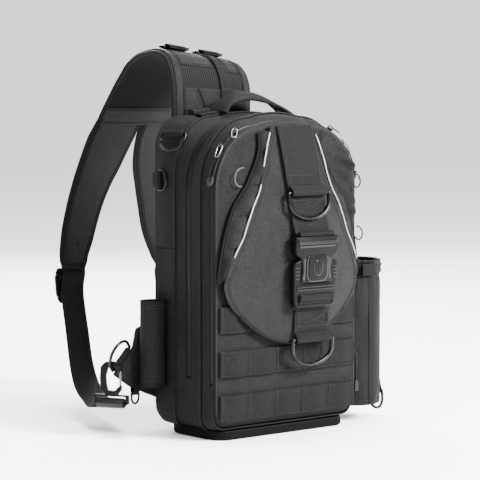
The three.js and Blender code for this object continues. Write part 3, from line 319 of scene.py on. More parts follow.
def repeat(name, places, along, out, points, faces, finish, jitter=0.0, **rest):
    """One small shape set at many places: point = place + along * x + across * y + out * z."""
    places, along, out = [np.asarray(a, float) for a in (places, along, out)]
    along = unit(np.broadcast_to(along, places.shape))
    out = np.broadcast_to(out, places.shape)
    out = unit(out - (out * along).sum(1, keepdims=True) * along)
    across = np.cross(out, along)
    if jitter:
        turn = dice.normal(0, jitter, len(places))[:, None]
        along, across = along * np.cos(turn) + across * np.sin(turn), across * np.cos(turn) - along * np.sin(turn)
    points = np.asarray(points, float)
    all_points = (places[:, None] + along[:, None] * points[None, :, :1] + across[:, None] * points[None, :, 1:2]
                  + out[:, None] * points[None, :, 2:]).reshape(-1, 3)
    faces = np.asarray(faces)
    all_faces = (faces[None] + (np.arange(len(places)) * len(points))[:, None, None]).reshape(-1, faces.shape[1])
    return put(name, all_points, all_faces, finish, **rest)


def bead(length, width, tall, taper=0.75):
    """A small lozenge with a bevelled top: corners of a box whose top ring is drawn in."""
    x, y = length / 2, width / 2
    ring = np.array([(-1, -1), (1, -1), (1, 1), (-1, 1)], float)
    low = np.column_stack([ring * (x, y), np.full(4, -tall * 0.5)])
    mid = np.column_stack([ring * (x, y), np.full(4, tall * 0.2)])
    top = np.column_stack([ring * (x * taper, y * taper), np.full(4, tall * 0.5)])
    points = np.vstack([low, mid, top])
    faces = [(3, 2, 1, 0), (8, 9, 10, 11)]
    for r in (0, 4):
        faces += [(r + i, r + (i + 1) % 4, r + 4 + (i + 1) % 4, r + 4 + i) for i in range(4)]
    return points, faces


STITCH = bead(2.5, 0.75, 0.7)


class Thread:
    """Gathers rows of stitches and makes one piece of each colour of thread."""

    LIFT = 0.15

    def __init__(self):
        self.rows = {}

    def row(self, path, out, pitch=3.6, key="thread"):
        path = np.asarray(path, float)
        count = max(2, int(length(path) / pitch))
        out = np.broadcast_to(np.asarray(out, float), path.shape)
        both = even(np.hstack([path, unit(out) * 1e-4]), count)
        places = both[:, :3] + unit(both[:, 3:]) * self.LIFT
        self.rows.setdefault(key, []).append((places, np.gradient(places, axis=0), both[:, 3:]))

    def pair(self, path, out, pitch, key="thread"):
        """A row, and its mirror on the other side."""
        for mirror in (1, -1):
            self.row(path * (mirror, 1, 1), out * (mirror, 1, 1), pitch, key)

    def make(self, name):
        for key, rows in self.rows.items():
            places, along, out = [np.concatenate(part) for part in zip(*rows)]
            repeat(f"{name}_{key}", places, along, out, *STITCH, key, jitter=0.05)


thread = Thread()


# Finishes
class Val:
    """A node socket that takes part in sums: each operator adds its Math node."""

    def __init__(self, tree, socket):
        self.tree, self.socket = tree, socket

    def math(self, kind, *others, clamp=False):
        node = self.tree.nodes.new("ShaderNodeMath")
        node.operation, node.use_clamp = kind, clamp
        for i, value in enumerate((self,) + others):
            link(self.tree, node.inputs[i], value)
        return Val(self.tree, node.outputs[0])

    def swapped(self, kind, other):
        node = self.tree.nodes.new("ShaderNodeMath")
        node.operation = kind
        link(self.tree, node.inputs[0], other)
        link(self.tree, node.inputs[1], self)
        return Val(self.tree, node.outputs[0])

    def __add__(self, o): return self.math("ADD", o)
    def __radd__(self, o): return self.math("ADD", o)
    def __mul__(self, o): return self.math("MULTIPLY", o)
    def __rmul__(self, o): return self.math("MULTIPLY", o)
    def __sub__(self, o): return self.math("SUBTRACT", o)
    def __rsub__(self, o): return self.swapped("SUBTRACT", o)
    def sin(self): return self.math("SINE")
    def clip(self): return self.math("ADD", 0.0, clamp=True)
    def above(self, edge, soft): return ((self - edge) * (1 / soft) + 0.5).clip()


def link(tree, socket, value):
    """Feeds a socket from another socket, or sets its own value."""
    if isinstance(value, Val):
        tree.links.new(value.socket, socket)
    elif value is not None:
        socket.default_value = value


class Finish:
    """One material: node() adds any node, the rest name what the finishes share."""

    def __init__(self, name, roughness, metallic=0.0, sheen=0.0, specular=0.5):
        self.material = bpy.data.materials.new(name)
        self.material.use_nodes = True
        self.tree = self.material.node_tree
        self.shader = self.tree.nodes["Principled BSDF"]
        for key, value in (("Roughness", roughness), ("Metallic", metallic), ("Sheen Weight", sheen),
                           ("Sheen Roughness", 0.4), ("Specular IOR Level", specular)):
            self.shader.inputs[key].default_value = value

    def node(self, kind, settings=None, inputs=None, output=0):
        node = self.tree.nodes.new(kind)
        for key, value in (settings or {}).items():
            setattr(node, key, value)
        for key, value in (inputs or {}).items():
            link(self.tree, node.inputs[key], value)
        return Val(self.tree, node.outputs[output])

    def uv(self):
        split = self.node("ShaderNodeSeparateXYZ", None,
                          {0: self.node("ShaderNodeTexCoord", output=2)})
        return split, Val(self.tree, split.socket.node.outputs[1])

    def here(self):
        return self.node("ShaderNodeTexCoord", output=3)

    def noise(self, scale, detail=2.0, rough=0.5):
        return self.node("ShaderNodeTexNoise", None,
                         {"Vector": self.here(), "Scale": scale, "Detail": detail, "Roughness": rough})

    def mark(self):
        return self.node("ShaderNodeAttribute", {"attribute_name": "shade"}, output=2)

    def blend(self, factor, a, b):
        node = self.tree.nodes.new("ShaderNodeMix")
        node.data_type = "RGBA"
        link(self.tree, node.inputs[0], factor)
        link(self.tree, node.inputs[6], (*a, 1) if isinstance(a, tuple) else a)
        link(self.tree, node.inputs[7], (*b, 1) if isinstance(b, tuple) else b)
        return Val(self.tree, node.outputs[2])

    def relief(self, height, distance, strength=1.0, under=None):
        return self.node("ShaderNodeBump", None, {"Strength": strength, "Distance": distance * 0.001,
                                                  "Height": height, "Normal": under})

    def done(self, **sockets):
        for key, value in sockets.items():
            link(self.tree, self.shader.inputs[key.replace("_", " ")], value)
        return self.material


def grey(level, warm=0.0):
    """A grey a little warmer or, below 0, cooler than neutral."""
    return (level * (1 + warm), level, level * (1 - warm))


def woven(name, dark, light, pitch, depth, rough, sheen=0.25, wear_and_painted_light=0.35):
    """Plain weave: warp and weft are two sine waves, and the product says which thread is on top."""
    f = Finish(name, rough, sheen=sheen * 0.01, specular=0.045)
    u, v = f.uv()
    k = 2 * PI / (pitch * 0.001)
    warp, weft = (u * k).sin(), (v * k).sin()
    over = (warp * weft) * 0.5 + 0.5
    ribs = (u * (3 * k)).sin() * over + (v * (3 * k)).sin() * (1 - over)
    cloth = over * 0.75 + ribs * 0.2
    worn = f.noise(30.0, 4.0, 0.6)
    # The fine speckle is grain in the colour that also stands for yarns catching light: partly painted glints.
    fine = f.noise(760.0, 3.0, 0.7)
    mixed = (over * 0.28 + fine.above(0.51, 0.16) * 0.7 + worn * 0.6 - 0.28).clip()
    colour = f.blend(mixed, dark, light)
    # The shade mark blends towards a paler grey: real wear beside seams and edges, and painted light on the flap's
    # gathered gussets, whose pillows are painted paler so that the creases between them stay dark as painted shade.
    colour = f.blend((f.mark() * wear_and_painted_light).clip(), colour, grey(light[1] * 2.0, 0.01))
    soft = f.relief(fine, 0.5, 0.6, f.relief(f.noise(120.0, 3.0), 0.8, 0.4))
    return f.done(Base_Color=colour, Roughness=(worn * 0.16 + (rough - 0.06)),
                  Normal=f.relief(cloth, depth, 0.8, soft))


def ribbed(name, dark, light, rib, rough, depth=0.22):
    """Webbing: fine ribs across the strap, crossed by wider cords along it, with paler edges, partly wear and partly a
    painted highlight.
    """
    f = Finish(name, rough, specular=0.06)
    u, v = f.uv()
    k = 2 * PI / (rib * 0.001)
    along, cross = (u * (k * 0.55)).sin(), (v * k).sin()
    twill = (u * k + v * (k * 0.5)).sin()
    height = cross * 0.45 + along * 0.35 + twill * 0.2
    worn = f.noise(55.0, 3.0)
    # The fine speckle is grain that also stands for fibres catching light (partly painted glints); the shade mark
    # paints the strap edges paler, partly wear and partly painted highlight.
    fine = f.noise(600.0, 2.0, 0.7).above(0.5, 0.14)
    colour = f.blend((height * 0.25 + worn * 0.4 + fine * 0.42 + f.mark() * 0.25 - 0.13).clip(), dark, light)
    return f.done(Base_Color=colour, Roughness=worn * 0.15 + (rough - 0.05),
                  Normal=f.relief(height, depth, 0.85, f.relief(worn, 0.4, 0.3)))


def spacer_mesh(name, dark, light):
    """Open air mesh: two crossed wave fields leave round holes in rows set half a pitch apart."""
    f = Finish(name, 0.9, specular=0.03)
    u, v = f.uv()
    k = 2 * PI / 0.0032
    a, b = u * k, v * (k * 0.58)
    field = a.sin() * b.sin() + (a + PI / 2).sin() * (b + PI / 2).sin()
    hole = field.above(0.35, 0.5)
    # The holes are painted dark: painted shade inside them over the darker layer behind.
    colour = f.blend(hole, light, dark)
    return f.done(Base_Color=colour, Normal=f.relief(1 - hole, 0.45, 0.6))


def plain(name, colour, rough, metallic=0.0, bump=0.06, scale=700.0, wear=0.15, specular=0.5):
    """Moulded or cast surface: a fine grain in the relief and slow patches in colour and gloss."""
    f = Finish(name, rough, metallic, specular=specular)
    patches = f.noise(60.0, 4.0)
    shade = f.blend(patches, tuple(c * (1 - wear) for c in colour), tuple(c * (1 + wear) for c in colour))
    return f.done(Base_Color=shade, Roughness=patches * (rough * 0.4) + rough * 0.8,
                  Normal=f.relief(f.noise(scale, 2.0), bump, 0.6))


def reflective(name):
    """Silver piping tape: glass beads in rows over a grey cord, dulled in patches."""
    f = Finish(name, 0.45, 0.25, specular=0.6)
    beads = (f.uv()[1] * (2 * PI / 0.0011)).sin() * 0.5 + 0.5
    worn = f.noise(120.0, 4.0)
    colour = f.blend((worn * 0.8 + beads * 0.2).clip(), grey(0.08), grey(0.36))
    return f.done(Base_Color=colour, Roughness=worn * 0.3 + 0.3, Normal=f.relief(beads, 0.12, 0.6))


FINISH = {
    "nylon": woven("body_nylon", grey(0.0006, -0.02), grey(0.0115, -0.03), 1.15, 0.34, 0.66),
    "smooth": woven("flap_nylon", grey(0.0015, -0.02), grey(0.0145, -0.03), 0.8, 0.26, 0.54, 0.3),
    "lining": woven("dark_nylon", grey(0.0006), grey(0.003), 0.9, 0.2, 0.85, 0.1),
    "mesh": spacer_mesh("air_mesh", grey(0.0006), grey(0.009)),
    "webbing": ribbed("webbing", grey(0.0008), grey(0.0095), 1.5, 0.7, 0.3),
    "binding": ribbed("binding_tape", grey(0.001), grey(0.006), 1.0, 0.55, 0.15),
    "piping": reflective("reflective_piping"),
    "welt": ribbed("seam_welt", grey(0.0012), grey(0.0075), 0.9, 0.5, 0.15),
    "tape": ribbed("zipper_tape", grey(0.0006), grey(0.003), 0.8, 0.7, 0.12),
    "teeth": plain("zipper_teeth", grey(0.004), 0.32, specular=0.16),
    "plastic": plain("moulded_plastic", grey(0.0016), 0.36, bump=0.05, scale=1500.0, specular=0.06),
    "gloss": plain("glossy_plastic", grey(0.0022), 0.24, bump=0.03, specular=0.18),
    "steel": plain("dark_chrome", grey(0.013), 0.27, 1.0, bump=0.02, wear=0.5),
    "bright": plain("bright_wire", grey(0.1), 0.22, 1.0, bump=0.02),
    "pull": plain("coated_pull", grey(0.028), 0.3, bump=0.02, wear=0.4, specular=0.3),
    "thread": plain("thread", grey(0.008), 0.6, wear=0.4, specular=0.1),
    "cord": ribbed("braided_cord", grey(0.003), grey(0.018), 0.9, 0.5, 0.2),
    "bartack": plain("bartack_thread", grey(0.008), 0.55, wear=0.4, specular=0.1),
    "rubber": plain("rubber", grey(0.004), 0.45, bump=0.05, specular=0.2),
}


# Shape of the body
def outline(y, inset=0.0, share=1.0):
    """Points round the body at each depth y: flat bottom, small corners, sides, quarter ellipses, low crown.

    The top leans by lean * height * x / half * (height share) squared. Returns rows of [x, y, z].
    """
    y = np.atleast_1d(np.asarray(y, float))
    inset = np.broadcast_to(inset, y.shape)[:, None]
    share = np.broadcast_to(share, y.shape)[:, None]
    at = np.clip((BACK - y) / DEPTH, 0, 1)
    top, cx, cz, lift, lean = [flow(at, SECTION[:, 0], SECTION[:, k])[:, None] for k in range(1, 6)]
    half = HALF - inset
    low, high = LOW + lift * HEIGHT + inset, LOW + top * HEIGHT - inset
    small = np.maximum(BOTTOM_CORNER - inset, 1)
    wide, tall = cx * HALF - inset, cz * HEIGHT - inset
    shoulder, flat = high - ROOF_RISE, half - wide
    t = np.linspace(0, 1, 13)
    x = [t * (half - small)]
    z = [low + 0 * t]
    a = np.linspace(0, PI / 2, 9)[1:]
    x.append(half - small + small * np.sin(a))
    z.append(low + small - small * np.cos(a))
    t = np.linspace(0, 1, 61)[1:]
    x.append(half + 0 * t)
    z.append(low + small + t * (shoulder - tall - low - small))
    a = np.linspace(0, PI / 2, 33)[1:]
    x.append(flat + wide * np.cos(a))
    z.append(shoulder - tall + tall * np.sin(a))
    t = np.linspace(1, 0, 15)[1:]
    x.append(flat * t)
    z.append(high - ROOF_RISE * t**2 + 0 * flat)
    x = np.concatenate([np.broadcast_to(p, (len(y), p.shape[-1])) for p in x], 1)
    z = np.concatenate([np.broadcast_to(p, (len(y), p.shape[-1])) for p in z], 1)
    x = np.concatenate([x, -x[:, -2:0:-1]], 1)
    z = np.concatenate([z, z[:, -2:0:-1]], 1)
    z = z - lean * HEIGHT * (x / HALF) * ((z - low) / (high - low)) ** 2
    middle = LOW + HEIGHT / 2
    return np.stack([x * share, np.broadcast_to(y[:, None], x.shape), middle + (z - middle) * share], -1)


front_line = outline(FRONT)[0] - V(0, 0, PANEL_MIDDLE)
line_angle = np.arctan2(front_line[:, 2], front_line[:, 0])
line_order = np.argsort(line_angle)
line_radius = np.hypot(front_line[:, 0], front_line[:, 2])


def crown(share):
    """How far the front panel stands forward, from its edge (1) to its middle (0)."""
    return FRONT_CROWN * flow(share, [0, 0.4, 0.75, 0.93, 1.0], [1, 1, 0.75, 0.35, 0])


def skin(x, z):
    """Depth of the front panel at x, z, from its share of the way out to the outline."""
    angle = np.arctan2(z - PANEL_MIDDLE, x)
    radius = np.interp(angle, line_angle[line_order], line_radius[line_order], period=2 * PI)
    return FRONT - crown(np.clip(np.hypot(x, z - PANEL_MIDDLE) / radius, 0, 1))


def clear(x, z):
    """The foremost skin within 6 mm, which flat pieces laid on the crowned panel clear."""
    edge, near = HALF - 1, (-6, 0, 6)
    x = np.clip(x, -edge, edge)
    return np.min([skin(np.clip(x + i, -edge, edge), z + k) for i in near for k in near], axis=0)


def flap_at(z, column):
    """A column of the flap's table at a height."""
    return flow((FLAP_LOW + FLAP_TALL - z) / FLAP_TALL, FLAP[:, 0], FLAP[:, column])


def flap_y(x, z):
    """Depth of the flap's face: the skin less a lift that falls from the middle to the edge as 1 - u squared."""
    u = np.clip(x / (flap_at(z, 1) * HALF), -1, 1)
    edge, middle = flap_at(z, 4), flap_at(z, 3)
    return clear(x, z) - (edge + (middle - edge) * (1 - u**2)) * FLAP_LIFT


def centre_x(z):
    """Middle line of the centre strap, which leans to the right on its way down."""
    return 2 + 0.075 * (FLAP_LOW + FLAP_TALL - z)


# Camera and light
def place_camera():
    """Near-orthographic view of the photograph: 40 degrees round from the front, 4.5 degrees up."""
    target = V(-0.0035, 0.0286, 0.2494)
    view = unit(V(0.641, 0.764, -0.0785))
    far = 3.0
    data = bpy.data.cameras.new("camera")
    camera = placed("camera", data)
    camera.location = target - view * far
    camera.rotation_euler = Vector(view).to_track_quat("-Z", "Y").to_euler()
    data.sensor_width, data.lens = 36.0, 36.0 * far / 0.64
    data.clip_end = 50
    bpy.context.scene.camera = camera


def place_light():
    """Soft boxes left, right and above, and a bright plain surround."""
    world = bpy.data.worlds.new("studio")
    bpy.context.scene.world = world
    world.use_nodes = True
    surround = world.node_tree.nodes["Background"].inputs
    surround["Color"].default_value = (1, 1, 1, 1)
    surround["Strength"].default_value = 1.5
    for name, place, size, power in (("key", (0.9, -2.3, 1.7), 1.0, 680), ("side", (-2.3, -0.5, 1.5), 0.6, 16),
                                     ("top", (0.1, 0.2, 2.5), 1.1, 150), ("back", (0.9, 2.0, 1.4), 1.0, 110)):
        data = bpy.data.lights.new(name, "AREA")
        data.size, data.energy = size, power
        lamp = placed(name, data)
        lamp.location = place
        lamp.rotation_euler = (Vector((0, 0, 0.22)) - Vector(place)).to_track_quat("-Z", "Y").to_euler()
    size = 6.0
    mesh = bpy.data.meshes.new("floor")
    mesh.from_pydata([(-size, -size, 0), (size, -size, 0), (size, size, 0), (-size, size, 0)], [], [(0, 1, 2, 3)])
    floor = placed("floor", mesh)
    pale = Finish("pale_floor", 0.9)
    floor.data.materials.append(pale.done(Base_Color=(0.93, 0.93, 0.93, 1)))


place_camera()
place_light()


# Shared forms
UP, SIDEWAYS, BACKWARD, FORWARD = V(0, 0, 1), V(1, 0, 0), V(0, 1, 0), V(0, -1, 0)


def rounded(points, radius=1.5, count=5):
    """A polygon whose corners are quadratic arcs that start at radius from each corner."""
    p = np.asarray(points, float)
    before, after = np.roll(p, 1, 0), np.roll(p, -1, 0)
    shorter = np.minimum(np.linalg.norm(before - p, axis=1), np.linalg.norm(after - p, axis=1))
    reach = np.minimum(radius, 0.45 * shorter)
    a = p + unit(before - p) * reach[:, None]
    b = p + unit(after - p) * reach[:, None]
    t = np.linspace(0, 1, count)[None, :, None]
    return ((1 - t) ** 2 * a[:, None] + 2 * t * (1 - t) * p[:, None] + t**2 * b[:, None]).reshape(-1, 2)


def moulded(name, outside, thick, finish, point, bar, up, holes=(), bevel=0.8, bend=None, **rest):
    """A plate cut from a flat outline [x, up] with bevelled edges, bent by bend(x, up) and set at its place."""
    curve = bpy.data.curves.new(name + "_flat", "CURVE")
    curve.dimensions, curve.fill_mode = "2D", "BOTH"
    curve.extrude, curve.bevel_depth, curve.bevel_resolution, curve.offset = thick / 2 - bevel, bevel, 2, -bevel
    for loop in (outside, *holes):
        line = curve.splines.new("POLY")
        line.points.add(len(loop) - 1)
        line.points.foreach_set("co", np.column_stack([loop, np.zeros(len(loop)), np.ones(len(loop))]).ravel())
        line.use_cyclic_u = True
    flat = placed(name + "_flat", curve)
    mesh = bpy.data.meshes.new_from_object(flat.evaluated_get(bpy.context.evaluated_depsgraph_get()))
    points = coords(mesh)
    faces = [tuple(face.vertices) for face in mesh.polygons]
    bpy.data.objects.remove(flat)
    bpy.data.curves.remove(curve)
    bpy.data.meshes.remove(mesh)
    x, high, deep = points.T
    if bend is not None:
        deep = deep + bend(x, high)
    return put(name, pose(np.column_stack([x, -deep, high]), point, bar, up), faces, finish, sharp=30, **rest)


def ring_path(width, depth, square=0.35):
    """A D: a straight bar on the local X axis and a half-ellipse bow below it, as [x, 0, z]."""
    half, side = width / 2, depth * square
    a = PI * (1 - np.linspace(0, 1, 24))
    bow_line = np.column_stack([half * np.cos(a), 0 * a, -side - (depth - side) * np.sin(a)])
    ends = [(half, 0, -1.5), (half - 1.5, 0, 0), (0, 0, 0), (1.5 - half, 0, 0), (-half, 0, -1.5)]
    return spline(np.vstack([ends, bow_line]), 90, closed=True)


def wire_ring(name, width, depth, wire, point, bar, up, **rest):
    """A D-ring of round wire on its bar."""
    path = pose(ring_path(width, depth), point, bar, up)
    return tube(name, path, wire, "steel", closed=True, sides=12, **rest)


def loop_round(name, width, wire, tail, point, bar, up, lean=0.0, **rest):
    """A webbing loop round a bar: a strap bent round the wire, whose two ends lie together along up."""
    r = wire + 0.6 + STRAP_THICK / 2
    a = np.linspace(-PI + 0.75, PI - 0.75, 26)
    bowl = np.column_stack([r * np.sin(a), -r * np.cos(a)])
    tip, apart = r + tail, STRAP_THICK / 2 + 0.05
    rise = np.linspace(0.25, 1, 6)[:, None]
    right = bowl[-1] + (V(lean + apart, tip) - bowl[-1]) * rise
    left = bowl[0] + (V(lean - apart, tip) - bowl[0]) * rise
    line = np.vstack([left[::-1], bowl, right])
    path = pose(np.column_stack([0 * line[:, 0], line[:, 0], line[:, 1]]), point, bar, up)
    return strap(name, path, bar, width, STRAP_THICK, "webbing", **rest)


def soften(grid, depth):
    """Moves a grid inwards along its normals, where the normals point out of the bag."""
    return grid - normals(grid) * np.asarray(depth)[..., None]


# Body of the bag
def along_outline(y, low_z, inset=0.0):
    """The part of the outline above low_z, from the right side over the top to the left, with its outward way."""
    line = outline(y, inset)[0]
    keep = line[:, 2] > low_z
    keep[:15] = keep[-14:] = False
    path = line[keep]
    path = even(path, int(length(path) / 4))
    return path, unit(np.cross(BACKWARD, np.gradient(path, axis=0)))


def seam_shade(y, lines, width=2.5):
    """Paler wear beside seams: a bell curve round each line."""
    return np.sum([np.exp(-((y - line) / width) ** 2) for line in lines], axis=0)


def shell(name, outer_y, node, seam):
    """A closed band or cup of the body: outer rows with folds pressed in along the normals, and an inner wall."""
    outer = outline(outer_y)
    fold, fine = dents(outer, 70, 3), dents(outer * V(1, 1.6, 1), 16, 5)
    edge = np.minimum(np.abs(outer_y - outer_y[0]), np.abs(outer_y - outer_y[-1]))
    free = np.clip(edge / 6, 0, 1)[:, None]
    run = np.linspace(0, 1, outer.shape[1])[None]
    pucker = np.exp(-((outer[..., 1] - seam) / 5) ** 2)
    pucker = pucker * (0.5 + 0.5 * np.sin(run * 2 * PI * 120 + 2 * ripple(outer, 50, 9)))
    moved = soften(outer, 0.7 * fold * free + 0.25 * fine * free + 0.35 * pucker * free)
    crossed = np.sign(moved[..., 0]) != np.sign(outer[..., 0])
    moved[crossed] = outer[crossed]
    inside = outline(outer_y[::-1][[0, len(outer_y) // 2, -1]], 2.2)
    marks = [np.broadcast_to(seam_shade(outer_y, (seam,))[:, None], moved.shape[:2]), np.zeros(inside.shape[:2])]
    surface(name, np.concatenate([moved, inside]), "nylon", around=True, ring=True, replaces=(node,),
            shade=np.concatenate(marks))


def rear_shell():
    """Side panels and back wall: rows run from the middle of the back wall out and forward to the zipper."""
    shares = np.linspace(0.02, 1, 12)
    wall = outline(np.full(12, BACK), 0, shares)
    y = np.concatenate([BACK - 0.4 * np.arange(1, 5) ** 1.5, np.linspace(56, REAR_RIM, 54)])
    sides = outline(y)
    free = np.clip(np.minimum(y - REAR_RIM, BACK - y) / 8, 0, 1)[:, None]
    run = np.linspace(0, 1, sides.shape[1])[None]
    pucker = np.exp(-((sides[..., 1] - REAR_SEAM) / 6) ** 2) * (0.5 + 0.5 * np.sin(run * 2 * PI * 90))
    sag = 2.2 * np.exp(-((sides[..., 1] - 40) / 13) ** 2) * dents(sides, 110, 21)
    moved = soften(sides, (0.9 * dents(sides, 60, 22) + sag + 0.5 * pucker) * free)
    inner = np.concatenate([outline(np.array([REAR_RIM, 30, BACK - 2.2]), 2.2),
                            outline(np.full(3, BACK - 2.2), 2.2, np.array([0.6, 0.3, 0.02]))])
    shade = np.concatenate([np.zeros(12), seam_shade(y, (REAR_SEAM,), 2), np.zeros(6)])
    surface("rear_shell_cloth", np.concatenate([wall, moved, inner]), "nylon", around=True, ring=True,
            replaces=("rear_shell",), shade=np.broadcast_to(shade[:, None], (len(shade), sides.shape[1])))


def body_bands():
    """The two cloth bands before and behind the front seam."""
    shell("main_shell_band", np.linspace(MAIN_RIM, FRONT_SEAM, 22), "main_shell", FRONT_SEAM)
    shell("front_gusset_band", np.linspace(FRONT_SEAM - 0.3, ZIP_BACK, 20), "front_gusset", FRONT_SEAM)


def zip_band(name, y, half, node, low_z, pitch, tooth):
    """Two tapes with a furrow between them, and two rows of teeth that mesh along the middle line."""
    rows = np.array([-1, -0.96, -0.5, -0.3, -0.22, 0.22, 0.3, 0.5, 0.96, 1]) * (half - 0.3)
    inset = np.array([0.8, 0.6, 0.6, 0.75, 1.6, 1.6, 0.75, 0.6, 0.6, 0.8])
    band = np.concatenate([outline(y + rows, inset), outline(y + rows[[9, 0]], 2.9)])
    surface(name + "_tape", band, "tape", around=True, ring=True, replaces=(node,))
    path, out = along_outline(y, low_z, 1.1)
    count = int(len(path) * 4 / pitch)
    both = even(np.hstack([path, out * 1e-4]), count)
    places, out = both[:, :3], unit(both[:, 3:])
    along = np.gradient(places, axis=0)
    step = np.roll(places, -1, 0) * 0.5 + places * 0.5
    step[-1] = places[-1]
    points, faces = bead(pitch * 0.62, tooth, 1.5, 0.7)
    shift = BACKWARD * tooth * 0.36
    repeat(name + "_teeth", np.concatenate([places - shift, step + shift]), np.concatenate([along, along]),
           np.concatenate([out, out]), points, faces, "teeth")
    for side in (-1, 1):
        edge, way = along_outline(y + side * half * 0.62, low_z - 4, 0.5)
        thread.row(edge, way, 3.2)


def patch_over_zip(name, y, half, high_z):
    """Cloth patches over the lower ends of a zipper, wrapped under the bag from side to side."""
    line = outline(y)[0]
    keep = line[:, 2] < high_z
    split = np.argmax(np.diff(np.flatnonzero(keep)) > 1) + 1
    path = even(np.roll(line[keep], -split, 0), 90)
    out = -unit(np.cross(BACKWARD, np.gradient(path, axis=0)))
    out = out * np.sign((out * (path - V(0, y, 120))).sum(1, keepdims=True))
    across = np.linspace(-half, half, 9)
    lift = 0.55 - 0.5 * np.abs(np.linspace(-1, 1, 9)) ** 6
    front = path[:, None] + BACKWARD * across[None, :, None] + out[:, None] * lift[None, :, None]
    back = path[:, None] + BACKWARD * across[None, :, None] - out[:, None] * 0.9
    slab(name, front, back, "nylon")
    for side in (-1, 1):
        thread.row(path + BACKWARD * side * (half - 1.2) + out * 0.45, out, 3.4)
    for step in (4, -5):
        row = path[step] + BACKWARD * np.linspace(-half + 1, half - 1, 12)[:, None] + out[step] * 0.5
        thread.row(row, out[step], 2.8)


def front_panel():
    """The crowned front: rows from its middle out to the seam, round the edge and back to the zipper."""
    shares = np.concatenate([np.linspace(0.02, 0.9, 40), np.linspace(0.915, 1, 14)])
    face = outline(np.full(len(shares), FRONT), 0, shares)
    face[..., 1] = FRONT - crown(shares)[:, None]
    free = np.clip((1 - shares) / 0.1, 0, 1)[:, None]
    face[..., 1] += (dents(face, 80, 31) * 1.2 + dents(face, 30, 33) * 0.7) * free
    for x, z, wide, tall, rise in ((102, 352, 17, 22, 12.5), (108, 293, 13, 18, 9.5), (-104, 338, 14, 26, 3.0)):
        lump = np.exp(-((face[..., 0] - x) / wide) ** 2 - ((face[..., 2] - z) / tall) ** 2)
        crease = 1 + 0.25 * np.sin((face[..., 2] - z) * 0.35 + face[..., 0] * 0.2)
        face[..., 1] -= rise * lump * crease * np.clip(free * 2, 0, 1)
    edge = outline(np.linspace(FRONT + 0.6, ZIP_FRONT, 7))
    inner = np.concatenate([outline(np.array([ZIP_FRONT, FRONT + 2.2]), 2.2),
                            outline(np.full(3, FRONT + 2.2), 2.2, np.array([0.7, 0.3, 0.02]))])
    inner[-3:, :, 1] -= crown(np.array([0.7, 0.3, 0.02]))[:, None]
    shade = np.concatenate([np.clip((shares - 0.975) / 0.02, 0, 1) * 0.8, np.zeros(12)])
    surface("front_panel_cloth", np.concatenate([face, edge, inner]), "nylon", around=True, ring=True,
            replaces=("front_panel",), shade=np.broadcast_to(shade[:, None], (len(shade), face.shape[1])))
    line = outline(FRONT, 0, 0.972)[0] + V(0, -crown(0.972) - 0.1, 0)
    thread.row(np.vstack([line, line[:1]]), FORWARD, 3.6)


def seam_welts():
    """Round welts along the rear and the front seam, with a row of stitches on both sides of each."""
    for name, y in (("rear_piping", REAR_SEAM), ("front_piping", FRONT_SEAM)):
        line = outline(y, -1.9)[0]
        path = even(np.roll(line, -8, 0)[:-9], 420)
        side = unit(np.cross(np.gradient(path, axis=0), BACKWARD))
        tube(name + "_welt", path, 1.45, "welt", sides=10, side=side, replaces=(name,))
        for shift in (-4.2, 4.2):
            edge, way = along_outline(y + shift, 30, -0.1)
            thread.row(edge, way, 3.6)


def base_skid():
    """Moulded tray under the bag: its plan with a rounded rim, and shallow ribs below."""
    corners = [(70, 20.5, 42, 0), (-70, 20.5, 42, 1), (-90, -36.5, 22, 2), (90, -36.5, 22, 3)]
    plan = []
    for x, y, r, q in corners:
        a = (q + np.linspace(0, 1, 14)) * PI / 2
        plan.append(np.column_stack([x + r * np.cos(a), y + r * np.sin(a)]))
    plan = even(np.vstack(plan + [plan[0][:1]]), 160, True)
    way = unit(np.column_stack([np.gradient(plan[:, 1]), -np.gradient(plan[:, 0])]))
    way = way * np.sign((way * (plan - (0, 2))).sum(1, keepdims=True))
    rows = [(-100, 11.6), (-3, 11.6), (-1, 11.2), (0, 9.5), (-0.4, 7), (0, 4.5), (0, 2.6), (-1, 0.8), (-3, 0),
            (-14, 0), (-16, 1), (-100, 1)]
    grid = []
    for inset, z in rows:
        ring = plan + way * max(inset, -30) if inset > -99 else np.tile([[0, 2.0]], (len(plan), 1)) + plan * 0.02
        grid.append(np.column_stack([ring, np.full(len(plan), z)]))
    # The tray takes the darkest cloth so that it reads as the shade under the bag: its own dark fabric deepened into
    # painted shade.
    surface("base_skid_tray", np.array(grid), "lining", around=True, ring=True, replaces=("base_skid",))
    seam = np.column_stack([plan + way * -1.6, np.full(len(plan), 11.3)])
    thread.row(np.vstack([seam, seam[:1]]), UP, 4)


